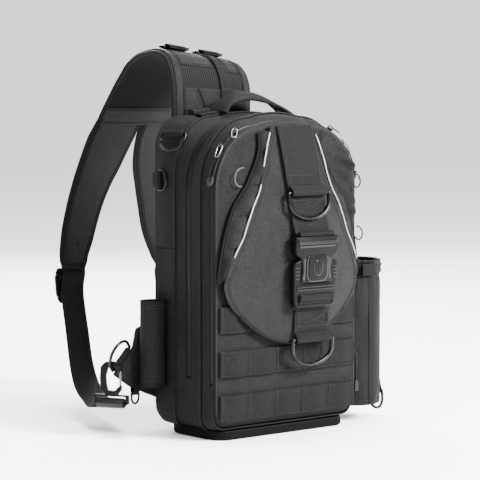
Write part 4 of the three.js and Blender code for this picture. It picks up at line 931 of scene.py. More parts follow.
# Load webbing
def load_webbing():
    """Three straps across the front, arched between bar tacks: depth = skin - gap - arch * sin squared."""
    hump = lambda x: np.sin(PI * 5 * (x + LOAD_HALF) / (2 * LOAD_HALF)) ** 2
    half = LOAD_TALL / 2
    for i in range(3):
        low = LOAD_LOW + LOAD_STEP * i
        X, Z = np.meshgrid(np.linspace(-LOAD_HALF, LOAD_HALF, 181), np.linspace(low, low + LOAD_TALL, 9))
        arch, wave = LOAD_ARCH * hump(X), 0.25 * np.sin(Z * 0.35 + i) * hump(X)
        base = np.minimum(clear(X, Z), clear(X, 0 * Z + low + half)) - 0.3 - arch - wave
        off = np.abs((Z - low - half) / half)
        # shade paints the band's top and bottom edges paler: partly worn edges, partly painted highlight.
        slab(f"load_webbing_{i + 1}_band", np.stack([X, base - 1.8 + 0.5 * off**8, Z], -1),
             np.stack([X, base, Z], -1), "webbing", replaces=(f"load_webbing_{i + 1}",), shade=0.25 * off**10)
        for bar in np.linspace(-LOAD_HALF, LOAD_HALF, 6):
            bar = np.clip(bar, -113.5, 113.5)
            for shift in (-0.9, 0.9):
                zz = np.linspace(low + 2, low + LOAD_TALL - 2, 24)
                yy = np.minimum(clear(bar + 0 * zz, zz), clear(bar, low + half)) - 2.25
                thread.row(np.column_stack([0 * zz + bar + shift, yy, zz]), FORWARD, 1.5, "bartack")
        for z_line in (low + 2.2, low + LOAD_TALL - 2.2):
            xx = np.linspace(-114, 114, 160)
            yy = np.minimum(clear(xx, z_line), clear(xx, low + half)) - 2.3 - LOAD_ARCH * hump(xx)
            thread.row(np.column_stack([xx, yy, 0 * xx + z_line]), FORWARD, 3.4)


# Tongue flap with its gathered sides
def flap():
    """The bulged flap: rows down, columns from edge to edge; face depth from flap_y with slow folds."""
    t = np.linspace(0, 1, 110)
    share = np.sin(t * PI / 2) ** 0.9 * 0.35 + t * 0.65
    z = FLAP_LOW + FLAP_TALL * (1 - share)
    u = np.sin(np.linspace(-1, 1, 71) * PI / 2) * 0.5 + np.linspace(-1, 1, 71) * 0.5
    Z = np.repeat(z[:, None], len(u), 1)
    half = flap_at(z, 1)[:, None] * HALF
    end = np.clip((share - 0.965) / 0.035, 0, 1)[:, None]
    X = u[None] * half * (1 - 0.25 * end**2)
    Y = flap_y(X, Z)
    p = np.stack([X, Y, Z], -1)
    free = (1 - np.abs(u) ** 4)[None] * np.clip(share * 12, 0, 1)[:, None]
    crease = 2.0 * dents(p * V(1.6, 1, 0.6), 80, 41) + 0.9 * dents(p, 30, 42)
    Y = Y + crease * free
    roll = 1.6 * np.clip((np.abs(u)[None] - 0.93) / 0.07, 0, 1) ** 2
    Y = Y + roll * (share[:, None] > 0.68)
    shade = np.clip((np.abs(u)[None] - 0.965) / 0.03, 0, 1) * 0.5 + 0 * Z
    slab("tongue_flap_cloth", np.stack([X, Y, Z], -1), np.stack([X, Y + 1.8, Z], -1), "smooth",
         replaces=("tongue_flap",), shade=shade)
    for side in (-1, 1):
        for inset, first, last in ((4.5, 2, 108), (7.0, 2, 108)):
            zz = z[first:last]
            xx = side * np.maximum(half[first:last, 0] * (1 - 0.25 * end[first:last, 0] ** 2) - inset, 3)
            thread.row(np.column_stack([xx, flap_y(xx, zz) + 0.15, zz]), FORWARD, 3.4)
    bottom = np.concatenate([np.column_stack([-half[88:, 0] * (1 - 0.25 * end[88:, 0] ** 2), z[88:]]),
                             np.column_stack([half[:87:-1, 0] * (1 - 0.25 * end[:87:-1, 0] ** 2), z[:87:-1]])])
    bottom = even(bottom, 130)
    path = np.column_stack([bottom[:, 0], flap_y(bottom[:, 0], bottom[:, 1]) + 0.9, bottom[:, 1]])
    tube("flap_bound_edge", path, 1.5, "binding", sides=8, side=BACKWARD)


def flap_sides():
    """Gathered cloth beside the flap: folds run across it as sine waves, pinched by bar tacks, and the zip welt."""
    for name, side in (("left", -1), ("right", 1)):
        share = np.linspace(0.03, 0.7, 150)
        z = FLAP_LOW + FLAP_TALL * (1 - share)
        half, welt = flap_at(z, 1) * HALF, flap_at(z, 2) * HALF
        inner = half - 3.7
        outer = np.maximum(welt, inner + 4.8)
        u = np.linspace(0, 1, 15)
        X = inner[:, None] + (outer - inner)[:, None] * u[None]
        Z = np.repeat(z[:, None], 15, 1)
        start = flap_y(inner, z)[:, None] + 3.0
        end = clear(X, Z) - 2.1
        phase = share * 2 * PI * 7
        pillow = np.abs(np.sin(phase / 2 + 0.4)) ** 0.4 * (0.8 + 0.2 * np.sin(phase * 1.7))
        base = start + 3.0 + (end - start - 3.0) * (u**2.6)[None]
        Y = base - (7.0 * pillow)[:, None] * (np.sin(PI * u) ** 0.8)[None]
        Y = np.clip(Y, start - 5.0, end)
        Z = Z + (1.5 * np.sin(phase * 0.5)[:, None]) * np.sin(PI * u)[None]
        # Painted shade in the folds: the shade mark is highest on the pillows and at the two edges and falls to nothing
        # in the creases, so the creases stay dark as painted shade against paler painted pillows.
        depth = (1 - pillow)[:, None] * np.sin(PI * u)[None]
        slab(f"flap_gusset_{name}_cloth", np.stack([side * X, Y, Z], -1), np.stack([side * X, Y + 1.5, Z], -1),
             "nylon", replaces=(f"flap_gusset_{name}",), shade=0.3 * (1 - depth))
        for i in range(10, 131, 24):
            row = np.column_stack([side * np.linspace(X[i, 3], X[i, 9], 6), Y[i, 3:10].min() + 0 * np.arange(6) - 0.1,
                                   np.full(6, z[i])])
            thread.row(row, V(side * 0.3, -1, 0), 1.2, "bartack")
        spans = ((396, 352), (330, 238)) if name == "left" else ((392, 226),)
        for k, (top, bottom) in enumerate(spans):
            zz = np.linspace(top, bottom, 120)
            xx = side * (np.interp(zz, z[::-1], half[::-1]) + 1.6 + 0.8 * np.sin(zz / 11.0) + 0.2 * np.sin(zz / 4.3))
            path = even(np.column_stack([xx, flap_y(xx, zz) - 0.9, zz]), 120)
            ends = np.clip(np.minimum(np.arange(120), 119 - np.arange(120)) / 6 + 0.25, 0, 1) ** 0.5
            stands_for = (f"flap_piping_{name}",) if k == 0 else ()
            tube(f"flap_piping_{name}_cord_{k + 1}", path, 0.95 * ends, "piping", sides=10, side=BACKWARD,
                 replaces=stands_for)
        zz = np.linspace(398, 205, 150)
        xx = side * (np.interp(zz, z[::-1], half[::-1]) + 1.6)
        lip = even(np.column_stack([side * (np.abs(xx) - 2.4), flap_y(xx, zz) + 0.2, zz]), 120)
        strap(f"flap_piping_{name}_lip", lip, V(side, 0.25, 0), 4.2, 0.8, "binding")
        welt_x = side * (outer - 1.0)
        line = even(np.column_stack([welt_x, clear(outer - 1, z) - 3.2, z]), 150)
        zip_line(f"flap_zip_{name}", line, FORWARD, tape=10.5)


def zip_line(name, line, out, tape=7.0, tooth=2.0, pitch=2.2):
    """A zipper on a line: a tape with two rows of teeth."""
    strap(name + "_tape", line, np.cross(unit(np.gradient(line, axis=0)), out), tape, 1.0, "tape")
    count = int(length(line) / pitch)
    places = even(line, count)
    along = np.gradient(places, axis=0)
    across = unit(np.cross(np.broadcast_to(out, along.shape), along))
    points, faces = bead(pitch * 0.6, tooth, 1.3, 0.7)
    lift = np.asarray(out) * 0.9
    half_step = unit(along) * pitch / 2
    repeat(name + "_teeth", np.concatenate([places + across * tooth * 0.4 + lift,
                                            places - across * tooth * 0.4 + half_step + lift]),
           np.concatenate([along, along]), out, points, faces, "teeth")


# Centre strap, rings and buckle
def centre_face(z, width=60.0, lift=0.0):
    """Depth of the flat strap that lies on the foremost part of the flap, at height z."""
    across = np.linspace(-0.5, 0.5, 5) * width
    reach = [flap_y(centre_x(z) + a, z + dz) for a in across for dz in (-4, 0, 4)]
    return np.minimum(np.min(reach, 0), flap_y(centre_x(z), z) + 1) - 0.3 - lift


def centre_strap(name, z, lift, node, width=CENTRE_WIDTH):
    """A 60 mm strap laid on the flap's foremost depth."""
    middle = np.column_stack([centre_x(z), centre_face(z, lift=lift) - 0.9, z])
    u = np.linspace(-1, 1, 25)
    wide = width / 2 - 0.25 * (0.5 + 0.5 * np.sin(z * 0.31))
    X = middle[:, :1] + wide[:, None] * u[None]
    Y = middle[:, 1:2] + 0.18 * np.sin(z * 0.21)[:, None] * u[None] ** 2 + 0.3 * np.abs(u[None]) ** 8
    Z = np.repeat(z[:, None], 25, 1)
    front = np.stack([X, Y - 0.9, Z], -1)
    # shade paints the strap's two edges paler: partly worn edges, partly painted highlight.
    shade = np.abs(u[None]) ** 14 + 0 * Z
    slab(name, front, front + V(0, 1.8, 0), "webbing", replaces=node, shade=shade)
    for side in (-1, 1):
        row = np.column_stack([middle[:, 0] + side * (width / 2 - 3), Y[:, 12] - 1.0, z])
        thread.row(row, FORWARD, 3.4)


def box_stitch(z_low, z_high, lift, half=25.0, cross=True):
    """A stitched box with its two diagonals on the centre strap."""
    corners = [(-half, z_low), (half, z_low), (half, z_high), (-half, z_high), (-half, z_low)]
    lines = [(corners[i], corners[i + 1]) for i in range(4)]
    if cross:
        lines += [(corners[0], corners[2]), (corners[1], corners[3])]
    for (a, za), (b, zb) in lines:
        t = np.linspace(0, 1, 30)
        z = za + (zb - za) * t
        x = centre_x(z) + a + (b - a) * t
        thread.row(np.column_stack([x, centre_face(z, lift=lift) - 2.0, z]), FORWARD, 2.6)


def centre_front():
    """Three lengths of the centre strap with their stitches, and a D-ring under the top and the lowest one."""
    def ring(name, bar, up):
        loop_round(name + "_loop", 59, 2.6, 5, bar, SIDEWAYS, up, lean=3.0)
        wire_ring(name + "_wire", 68.2, 34, 2.6, bar, SIDEWAYS, up, body=name,
                  replaces=(name.replace("_ring", "_d_ring"),))

    centre_strap("centre_strap_top", np.linspace(404, 322.6, 60), 0.0, ("centre_webbing_top",))
    box_stitch(329, 340, 0.0, cross=False)
    ring("upper_ring", V(8.525, -95.034, 318), V(0, 0.121, 0.993))
    z = np.linspace(311.5, 264, 40)
    centre_strap("centre_strap_middle", z, 4.2 * np.clip((312.4 - z) / 48, 0, 1) ** 3, ("centre_webbing_middle",))
    box_stitch(292, 308, 0.3)
    centre_strap("centre_strap_low", np.linspace(166, 130.5, 30), 0.0, ("centre_webbing_low",))
    box_stitch(143, 162, 0.0)
    ring("lower_ring", V(22.925, -87.363, 126), V(0, -0.065, 0.998))


def buckle():
    """Side-release buckle: a ladder bar, a waisted socket with prong windows, a plain raised pad, and the latch."""
    point, up = V(12.725, -103.373, 262), V(0, -0.052, 0.999)

    def part(name, outside, thick, deep=0.0, finish="plastic", radius=2.0, holes=(), bevel=1.0, bend=None, **rest):
        place = pose([(0, deep, 0)], point, SIDEWAYS, up)[0]
        return moulded(name, rounded(outside, radius), thick, finish, place, SIDEWAYS, up,
                       [rounded(h, 1.0) for h in holes], bevel, bend, **rest)

    def both(points):
        return points + [(-x, z) for x, z in reversed(points)]

    dome = lambda x, z: 1.1 * (1 - (x / 37) ** 2)
    slot = lambda half, low, high: [(-half, low), (half, low), (half, high), (-half, high)]
    part("buckle_socket_body", both([(37, 0), (37, -17), (35.4, -23.5), (27.4, -27.5), (24.6, -43), (27.6, -60.6)]),
         11.6, holes=[slot(31, -9.2, -4)], bend=dome, replaces=("buckle_socket",), bevel=1.6, radius=3.0)
    part("buckle_ladder_bar", slot(33, -10.4, -2.4), 2.2, -6.4, "gloss", 1.2, bevel=0.7)
    part("buckle_ladder_slot", slot(30.5, -14.4, -11.8), 0.8, -5.9, "rubber", 0.8, bevel=0.2)
    places = pose([(x, -7.5, -6.4) for x in np.linspace(-30.5, 30.5, 25)], point, SIDEWAYS, up)
    points, faces = bead(6.6, 1.5, 1.1, 0.8)
    repeat("buckle_ladder_knurls", places, np.tile(up, (25, 1)), np.tile(FORWARD, (25, 1)), points, faces, "gloss")
    part("buckle_raised_pad", both([(14, -25.5), (16, -30), (16, -52), (12, -57)]), 2.6, -6.4, "plastic", 5.0,
         bend=dome, bevel=0.8)
    part("buckle_pad_rim", both([(16.8, -24.5), (18.6, -30), (18.6, -53), (13.4, -59)]), 1.6, -5.8, "gloss", 5.0,
         bend=dome, bevel=0.5)
    turn = np.linspace(0, 2 * PI, 29)[:-1]
    for name, wide, tall, thick, deep, finish in (("rim", 8.2, 10.6, 0.8, -7.7, "gloss"),
                                                  ("face", 6.9, 9.2, 1.0, -7.9, "plastic")):
        part(f"buckle_oval_{name}", [(wide * math.cos(t), tall * math.sin(t) - 41) for t in turn], thick, deep, finish,
             0.3, bend=dome, bevel=0.3)
    for side in (-1, 1):
        part(f"buckle_window_{side + 2}", [(side * 19.6, -27), (side * 23.6, -30), (side * 22.4, -43),
                                           (side * 24.6, -55), (side * 20.4, -57)], 0.8, -6.1, "rubber", 1.0,
             bevel=0.2)
    latch = [(24.9, -61.3), (25.9, -29.6), (35.6, -33.4), (38.2, -38), (36.6, -62), (37, -67), (35, -88), (31, -92),
             (-31, -92), (-35, -88), (-37, -67), (-36.6, -62), (-38.2, -38), (-35.6, -33.4), (-25.9, -29.6),
             (-24.9, -61.3)]
    part("buckle_latch_body", latch, 8.6, holes=[slot(29, -88, -80)], replaces=("buckle_latch",), bevel=1.5,
         radius=2.5, bend=dome)
    for k in range(2):
        part(f"buckle_latch_rib_{k + 1}", slot(33 - 0.3 * k, -65.4 - 3.6 * k - 0.8, -65.4 - 3.6 * k + 0.8), 1.8,
             -5.2, "gloss", 0.7, bevel=0.4)
    for side in (-1, 1):
        for k in range(4):
            z = -40 - 4.6 * k
            part(f"buckle_grip_{side + 2}_{k + 1}", [(side * 29, z - 0.7), (side * 36, z - 0.7), (side * 36, z + 0.7),
                                                     (side * 29, z + 0.7)], 1.2, -4.6, "gloss", 0.5, bevel=0.3)
    roll = pose(np.column_stack([np.linspace(-28, 28, 12), np.full(12, -3.4), np.full(12, -79.5)]), point, SIDEWAYS,
                up)
    tube("latch_strap_roll", roll, 5.6, "webbing", sides=16, side=UP)
    tail_path = pose([(0, -1.5, -80), (0, -4.6, -84), (0, -2.0, -89.5), (0, 4.5, -92), (0, 8, -96)], point, SIDEWAYS,
                     up)
    strap("latch_strap_tail", spline(tail_path, 26), SIDEWAYS, 56, 1.6, "webbing")
    roll = pose(np.column_stack([np.linspace(-29, 29, 12), np.full(12, -1.5), np.full(12, 2.6)]), point, SIDEWAYS, up)
    tube("socket_strap_roll", roll, 3.6, "webbing", sides=16, side=UP)


rear_shell()
body_bands()
zip_band("main_zipper", MAIN_ZIP, 6.0, "main_zipper", 80, 2.5, 2.7)
zip_band("front_zipper", FRONT_ZIP, 3.5, "front_zipper", 74, 2.1, 1.9)
patch_over_zip("main_zip_patch", MAIN_ZIP, 7.4, 82)
patch_over_zip("front_zip_patch", FRONT_ZIP, 4.6, 76)
front_panel()
seam_welts()
base_skid()
load_webbing()
flap()
flap_sides()
centre_front()
buckle()


# Padded pieces
def flat_uv(piece, a, b):
    """UV in metres from two of the coordinates, for a pattern laid flat over a piece."""
    mesh = piece.data
    points = np.zeros(len(mesh.vertices) * 3)
    mesh.vertices.foreach_get("co", points)
    corner = np.zeros(len(mesh.loops), int)
    mesh.loops.foreach_get("vertex_index", corner)
    flat = points.reshape(-1, 3)[corner][:, [a, b]]
    mesh.uv_layers[0].data.foreach_set("uv", flat.ravel())


def inflate(piece, pinned, pressure=3.0, cap=4.0, frames=16, stiff=12.0):
    """Cloth simulation with air pressure: the pinned seams stay, the cloth between them swells, at most by cap mm."""
    mesh = piece.data
    rest = np.zeros(len(mesh.vertices) * 3)
    mesh.vertices.foreach_get("co", rest)
    rest = rest.reshape(-1, 3)
    hold = piece.vertex_groups.new(name="seams")
    hold.add([int(i) for i in np.flatnonzero(pinned(rest * 1000))], 1.0, "REPLACE")
    cloth = piece.modifiers.new("Cloth", "CLOTH")
    cloth.settings.vertex_group_mass = "seams"
    cloth.settings.use_pressure = True
    cloth.settings.uniform_pressure_force = pressure
    cloth.settings.effector_weights.gravity = 0
    cloth.settings.tension_stiffness = cloth.settings.compression_stiffness = stiff
    cloth.settings.bending_stiffness = 1.5
    cloth.settings.quality = 4
    scene = bpy.context.scene
    cloth.point_cache.frame_start, cloth.point_cache.frame_end = 1, frames
    for step in range(1, frames + 1):
        scene.frame_set(step)
    swollen = bpy.data.meshes.new_from_object(piece.evaluated_get(bpy.context.evaluated_depsgraph_get()))
    now = np.zeros(len(swollen.vertices) * 3)
    swollen.vertices.foreach_get("co", now)
    move = now.reshape(-1, 3) - rest
    far = np.linalg.norm(move, axis=1, keepdims=True)
    move = move * np.minimum(1, cap * 0.001 / np.maximum(far, 1e-9))
    mesh.vertices.foreach_set("co", (rest + move).ravel())
    mesh.update()
    piece.modifiers.clear()
    piece.vertex_groups.clear()
    bpy.data.meshes.remove(swollen)
    scene.frame_set(1)
    return piece


def pad_profile(width, thick, count=34, edge=0.55, fill=0.9):
    """Cross section of a pad: two crowned faces that meet in a thin sewn edge."""
    u = np.cos(np.linspace(0, PI, count))
    half = thick / 2 * (edge + (fill - edge) * (1 - np.abs(u) ** 4))
    top = np.stack([u * width / 2, half], -1)
    return np.concatenate([top, np.stack([u[::-1] * width / 2, -half], -1)])


def back_pad():
    """Air-mesh pad on the wearer's side: rows of a rounded rectangle drawn in, with sewn channels."""
    pad_x, pad_z, r = 103.0, 186.0, 34.0
    middle, aisle, channels = 206, 34.0, (100, 170, 240, 310)
    a = np.linspace(0, PI / 2, 16)
    corner = np.column_stack([pad_x - r + r * np.cos(a), pad_z - r + r * np.sin(a)])
    plan = np.concatenate([corner, corner[::-1] * (-1, 1), -corner, corner[::-1] * (1, -1)])
    plan = even(np.vstack([plan, plan[:1]]), 260, True)
    shares = np.concatenate([[0.003], np.linspace(0.02, 0.93, 44), np.linspace(0.95, 0.995, 6)])
    x = plan[:, 0] * shares[:, None]
    z = middle + plan[:, 1] * shares[:, None]
    channel = np.exp(-((np.abs(x) - aisle) / 4.5) ** 2) * (np.abs(z - middle) < 165)
    channel = channel + sum(np.exp(-((z - line) / 4.0) ** 2) * (np.abs(x) > aisle) for line in channels)
    dome = 1 - np.clip((shares[:, None] - 0.86) / 0.14, 0, 1) ** 2
    y = 69.0 + 5.2 * dome - 4.6 * np.clip(channel, 0, 1) * dome
    face = np.stack([x, y, z], -1)
    rim = np.stack([np.stack([plan[:, 0] * k, np.full(260, yy), middle + plan[:, 1] * k], -1)
                    for k, yy in ((1.0, 67.5), (1.0, 65.5), (0.995, 63.3), (0.5, 63.0), (0.003, 63.0))])
    piece = surface("back_pad_mesh", np.concatenate([face, rim]), "mesh", around=True,
                    replaces=("back_pad",))
    flat_uv(piece, 0, 2)

    def sewn(p):
        lines = np.abs(np.abs(p[:, 0]) - aisle) < 2.5
        cross = np.min([np.abs(p[:, 2] - line) for line in channels], 0) < 2.2
        return (p[:, 1] < 69.4) | lines | (cross & (np.abs(p[:, 0]) > aisle))
    inflate(piece, sewn, pressure=2.0, cap=2.2)
    edge = np.column_stack([plan[:, 0] * 0.985, np.full(260, 69.6), middle + plan[:, 1] * 0.985])
    tube("back_pad_binding", edge, 1.6, "binding", closed=True, side=BACKWARD)
    for side in (-1, 1):
        zz = np.linspace(44, 368, 120)
        thread.row(np.column_stack([np.full(120, side * aisle), np.full(120, 70.0), zz]), BACKWARD, 3.4)


# Yoke: rows of the table joined by smooth curves over an even length
yoke_rows = np.arange(len(YOKE))
yoke_fine = np.linspace(0, len(YOKE) - 1, 400)
yoke_side = np.column_stack([flow(yoke_fine, yoke_rows, YOKE[:, 0]) * STRAP_REACH + YOKE_Y,
                             flow(yoke_fine, yoke_rows, YOKE[:, 1]) * STRAP_TOP])
yoke_far = run(yoke_side)
YOKE_LONG = yoke_far[-1]


def nearest(p, middle):
    """For each point, the place on a middle line that is nearest to it as seen from the side."""
    return np.argmin(np.hypot(p[:, 1:2] - middle[None, :, 1], p[:, 2:3] - middle[None, :, 2]), axis=1)


def yoke_at(far):
    """Middle point, half width, width direction and face direction of the yoke at a distance along it."""
    row = np.interp(far, yoke_far, yoke_fine)
    left, right, lean = [flow(row, yoke_rows, YOKE[:, k]) for k in (2, 3, 4)]
    y, z = np.interp(far, yoke_far, yoke_side[:, 0]), np.interp(far, yoke_far, yoke_side[:, 1])
    middle = np.stack([YOKE_HALF * (left + right) / 2, y, z], -1)
    across = unit(np.stack([1 + 0 * lean, 0 * lean, -lean], -1))
    dy = np.interp(far + 2, yoke_far, yoke_side[:, 0]) - np.interp(far - 2, yoke_far, yoke_side[:, 0])
    dz = np.interp(far + 2, yoke_far, yoke_side[:, 1]) - np.interp(far - 2, yoke_far, yoke_side[:, 1])
    along = unit(np.stack([0 * dy, dy, dz], -1))
    return middle, YOKE_HALF * (right - left) / 2, across, -unit(np.cross(along, across))


def yoke_face(far, x, lift, side=1):
    """A point on the yoke's outer face at a distance along it and at x, lifted off the face."""
    far, x = np.broadcast_arrays(np.asarray(far, float), np.asarray(x, float))
    middle, half, across, face = yoke_at(far)
    u = (x - middle[..., 0]) / half
    crown_lift = 6.0 * (0.5 + 0.42 * (1 - np.abs(np.clip(u, -1, 1)) ** 4))
    return middle + across * (u * half)[..., None] + face * (side * (crown_lift + lift))[..., None]


def yoke_patch(name, far, x, finish, thick=1.1):
    """A panel laid on the yoke's outer face between two distances and two edges, sewn round its border."""
    f = np.linspace(far[0], far[1], max(8, int((far[1] - far[0]) / 3)))
    x0, x1 = [np.interp(f, far, np.broadcast_to(e, (2,))) for e in x]
    u = np.linspace(0, 1, max(6, int(np.abs(x1[0] - x0[0]) / 3)))
    F, X = np.repeat(f[:, None], len(u), 1), x0[:, None] + (x1 - x0)[:, None] * u
    edge = np.minimum(np.minimum(u, 1 - u)[None] * np.abs(x1 - x0)[:, None],
                      np.minimum(f - far[0], far[1] - f)[:, None])
    roll = 0.6 * np.exp(-edge / 0.8)
    puff = 0.5 * np.clip(edge / 8, 0, 1) * (0.6 + 0.4 * ripple(np.stack([X, F, 0 * F], -1), 30, 61))
    slab(name, yoke_face(F, X, thick + puff - roll), yoke_face(F, X, -0.8), finish)
    inset = 2.2
    fi = np.linspace(far[0] + inset, far[1] - inset, 60)
    for e, sign in ((0, 1), (1, -1)):
        xx = np.interp(fi, far, np.broadcast_to(x[e], (2,))) + sign * inset
        thread.row(yoke_face(fi, xx, thick + 0.35), yoke_at(fi)[3], 3.0)
    for f_end in (far[0] + inset, far[1] - inset):
        ends = [np.interp(f_end, far, np.broadcast_to(e, (2,))) for e in x]
        xx = np.linspace(ends[0] + inset, ends[1] - inset, 40)
        thread.row(yoke_face(f_end + 0 * xx, xx, thick + 0.35), yoke_at(f_end + 0 * xx)[3], 3.0)


def yoke():
    """Shoulder yoke: a pad along the curve of its table, with bound edges, borders, panels and a middle strap."""
    far = np.linspace(0, YOKE_LONG, 130)
    middle, half, across = yoke_at(far)[:3]
    profile = np.stack([pad_profile(2 * h, 11.0) for h in half])
    profile[..., 1] *= np.clip(np.minimum(far, YOKE_LONG - far) / 9 + 0.5, 0, 1)[:, None]
    grid = carry(middle, profile, across)
    piece = surface("yoke_pad", grid, "mesh", around=True, replaces=("yoke",))

    def sewn(p):
        near = nearest(p, middle)
        u = np.abs((p[:, 0] - middle[near, 0]) / half[near])
        return (u > 0.9) | (near < 4) | (near > 125) | (u < 0.05)
    inflate(piece, sewn, pressure=2.0, cap=1.8)
    for name, sign in (("left", -1), ("right", 1)):
        edge = middle + across * (sign * half - sign * 0.6)[:, None]
        tube(f"yoke_binding_{name}", edge, np.full(130, 3.0), "binding", side=across, sides=12)
        f = np.linspace(6, YOKE_LONG - 4, 200)
        m, h, _, fc = yoke_at(f)
        x = m[:, 0] + sign * (h - 13.0)
        grid = np.stack([yoke_face(f, x + sign * k * 10.5, 0.7 + 1.4 * (1 - (2 * k - 1) ** 2))
                         for k in np.linspace(0, 1, 9)], 1)
        slab(f"yoke_border_{name}", grid, grid - fc[:, None] * 2.2, "smooth")
        thread.row(yoke_face(f, x + sign * 1.5, 1.3), fc, 3.2)
        thread.row(yoke_face(f, x + sign * 9.5, 1.3), fc, 3.2)
    low, high = 27.0, 54.0
    yoke_patch("yoke_panel_low_left", (low, high), (-70.0, (-37.0, -48.0)), "smooth")
    yoke_patch("yoke_panel_low_middle", (low, high), ((-35.0, -46.0), -8.5), "smooth")
    yoke_patch("yoke_panel_low_right", (low, high), (8.5, 32.0), "smooth")
    yoke_patch("yoke_panel_root", (3.0, low + 3), (-70.0, 32.0), "lining", 0.7)
    yoke_patch("yoke_panel_top_left", (82.0, 140.0), (-68.0, -10.5), "smooth")
    yoke_patch("yoke_panel_top_right", (78.0, 140.0), (10.0, 33.0), "smooth")
    yoke_patch("yoke_panel_back", (146.0, YOKE_LONG - 12), ((-59.0, -62.0), (39.0, 60.0)), "smooth")
    f = np.linspace(8, YOKE_LONG - 30, 200)
    fc = yoke_at(f)[3]
    grid = np.stack([yoke_face(f, k * 8.0 + 0 * f, 2.4 + 0.6 * (1 - k**4)) for k in np.linspace(-1, 1, 11)], 1)
    # shade paints the strap's two edges paler: partly worn edges, partly painted highlight.
    slab("yoke_middle_strap", grid, grid - fc[:, None] * 1.9, "webbing",
         shade=np.abs(np.linspace(-1, 1, 11))[None] ** 10 + 0 * f[:, None])
    for k in (-6.2, 6.2):
        thread.row(yoke_face(f, k + 0 * f, 2.95), fc, 3.0)
    end, end_half, _, end_face = yoke_at(YOKE_LONG)
    ahead = unit(end - yoke_at(YOKE_LONG - 6)[0])
    x = np.linspace(end[0] - end_half + 2, end[0] + end_half - 2, 50)
    for side, name in ((1, "outer"), (-1, "inner")):
        rows = [yoke_face(YOKE_LONG - d, x, 0.9 - 0.1 * k, side) for k, d in enumerate((18, 14, 9, 5, 1))]
        rows += [rows[-1] + ahead * d - end_face * side * d * 0.05 for d in (4, 8, 12)]
        grid = np.stack(rows)
        slab(f"yoke_join_{name}", grid, grid - end_face * side * 2.6, "smooth")
        for k in (1, 6):
            thread.row(rows[k] + end_face * side * 0.3, end_face * side, 3.0)
    for place in (27.0, 54.0, 82.0, 140.0, 200.0):
        for d in (-1.0, 1.0):
            x = np.linspace(-7.2, 7.2, 14)
            thread.row(yoke_face(place + d + 0 * x, x, 3.1), yoke_at(place + 0 * x)[3], 1.3, "bartack")


strap_rows = np.arange(len(STRAP))


def strap_line(count, offset=0.0):
    """Middle line of the left half strap over even lengths, with its half width."""
    fine = np.linspace(0, len(STRAP) - 1, 300)
    back, up, outer, inner = [flow(fine, strap_rows, STRAP[:, k]) for k in range(4)]
    line = np.column_stack([-YOKE_HALF * (outer + inner) / 2, YOKE_Y + back * STRAP_REACH, up * STRAP_TOP,
                            YOKE_HALF * (outer - inner) / 2])
    s = run(line[:, :3])
    at = np.linspace(offset, s[-1], count)
    return np.stack([np.interp(at, s, line[:, k]) for k in range(4)], -1)


def turn_over(piece):
    """Carries a piece to the other side: x negated and the faces turned round."""
    piece.data.vertices.foreach_set("co", (coords(piece.data) * (-1, 1, 1)).ravel())
    piece.data.flip_normals()


def mirrored(piece, *nodes):
    """The same piece for the right side, named after the left one."""
    twin = placed(piece.name.replace("left", "right"), piece.data.copy())
    turn_over(twin)
    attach(twin, "bag")
    if nodes:
        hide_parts(*nodes)
    return twin


def strap_pads():
    """Pads of the two half straps: two crowned faces along the strap's line, bound edges and facing panels."""
    count = 86
    steps, last = np.arange(count), count - 1
    line = strap_line(count, 0.6)
    line[0, :3] += unit(line[0, :3] - line[1, :3]) * 5
    line[:, 3] += 2.6 * np.clip(steps / 12, 0, 1)
    middle, half = line[:, :3], line[:, 3]
    taper = np.clip((last - steps) / 10 + 0.55, 0, 1) ** 0.35
    profile = np.stack([pad_profile(2 * h, 8.6, 24, 0.5, 0.86) for h in half])
    profile[..., 1] *= np.clip(np.minimum(steps, last - steps) / 4 + 0.55, 0, 1)[:, None]
    profile[..., 0] *= taper[:, None]
    piece = surface("strap_pad_left_cloth", carry(middle, profile, SIDEWAYS), "mesh", around=True,
                    replaces=("strap_pad_left",))

    def sewn(p):
        near = nearest(p, middle)
        return (np.abs(p[:, 0] - middle[near, 0]) > 0.82 * half[near]) | (near < 2) | (near > 82)
    inflate(piece, sewn, pressure=2.0, cap=1.4)
    mirrored(piece, "strap_pad_right")
    face = np.cross(unit(np.gradient(middle, axis=0)), SIDEWAYS)
    for name, sign in (("outer", -1), ("inner", 1)):
        edge = middle + SIDEWAYS * (sign * (half * taper - 0.5))[:, None]
        mirrored(tube(f"strap_binding_{name}_left", edge, 2.5, "binding", side=SIDEWAYS, sides=12))
        for side in (-1, 1):
            row = middle + SIDEWAYS * (sign * (half * taper - 4.0))[:, None] + face * side * 3.55
            thread.pair(row, face * side, 3.2)
    u = np.linspace(-1, 1, 17)
    for side, name in ((1, "inside"), (-1, "outside")):
        reach = (half * taper - 6.5)[:, None] * u[None]
        lift = 3.7 + 0.35 * (1 - u[None] ** 4) + 0 * reach
        grid = middle[:, None] + SIDEWAYS * reach[..., None] + face[:, None] * (side * lift)[..., None]
        grid = grid[2:-3]
        mirrored(slab(f"strap_facing_{name}_left", grid, grid - face[2:-3, None] * side * 1.5, "smooth"))


HOOK, HOOK_BAR, HOOK_SIDE = V(-192.08, 63.26, 94.64), V(0.5, -0.8660254, 0), V(0.8660254, 0.5, 0)
WING_BAR, TIP_BAR, RING_OUT = V(-173.78, 66.3, 100.17), unit(V(31.68, 0, 33.6)), unit(V(-0.655, -0.435, 0.6177))
STRAP_END = V(-82.1, 297.0, 195.9)


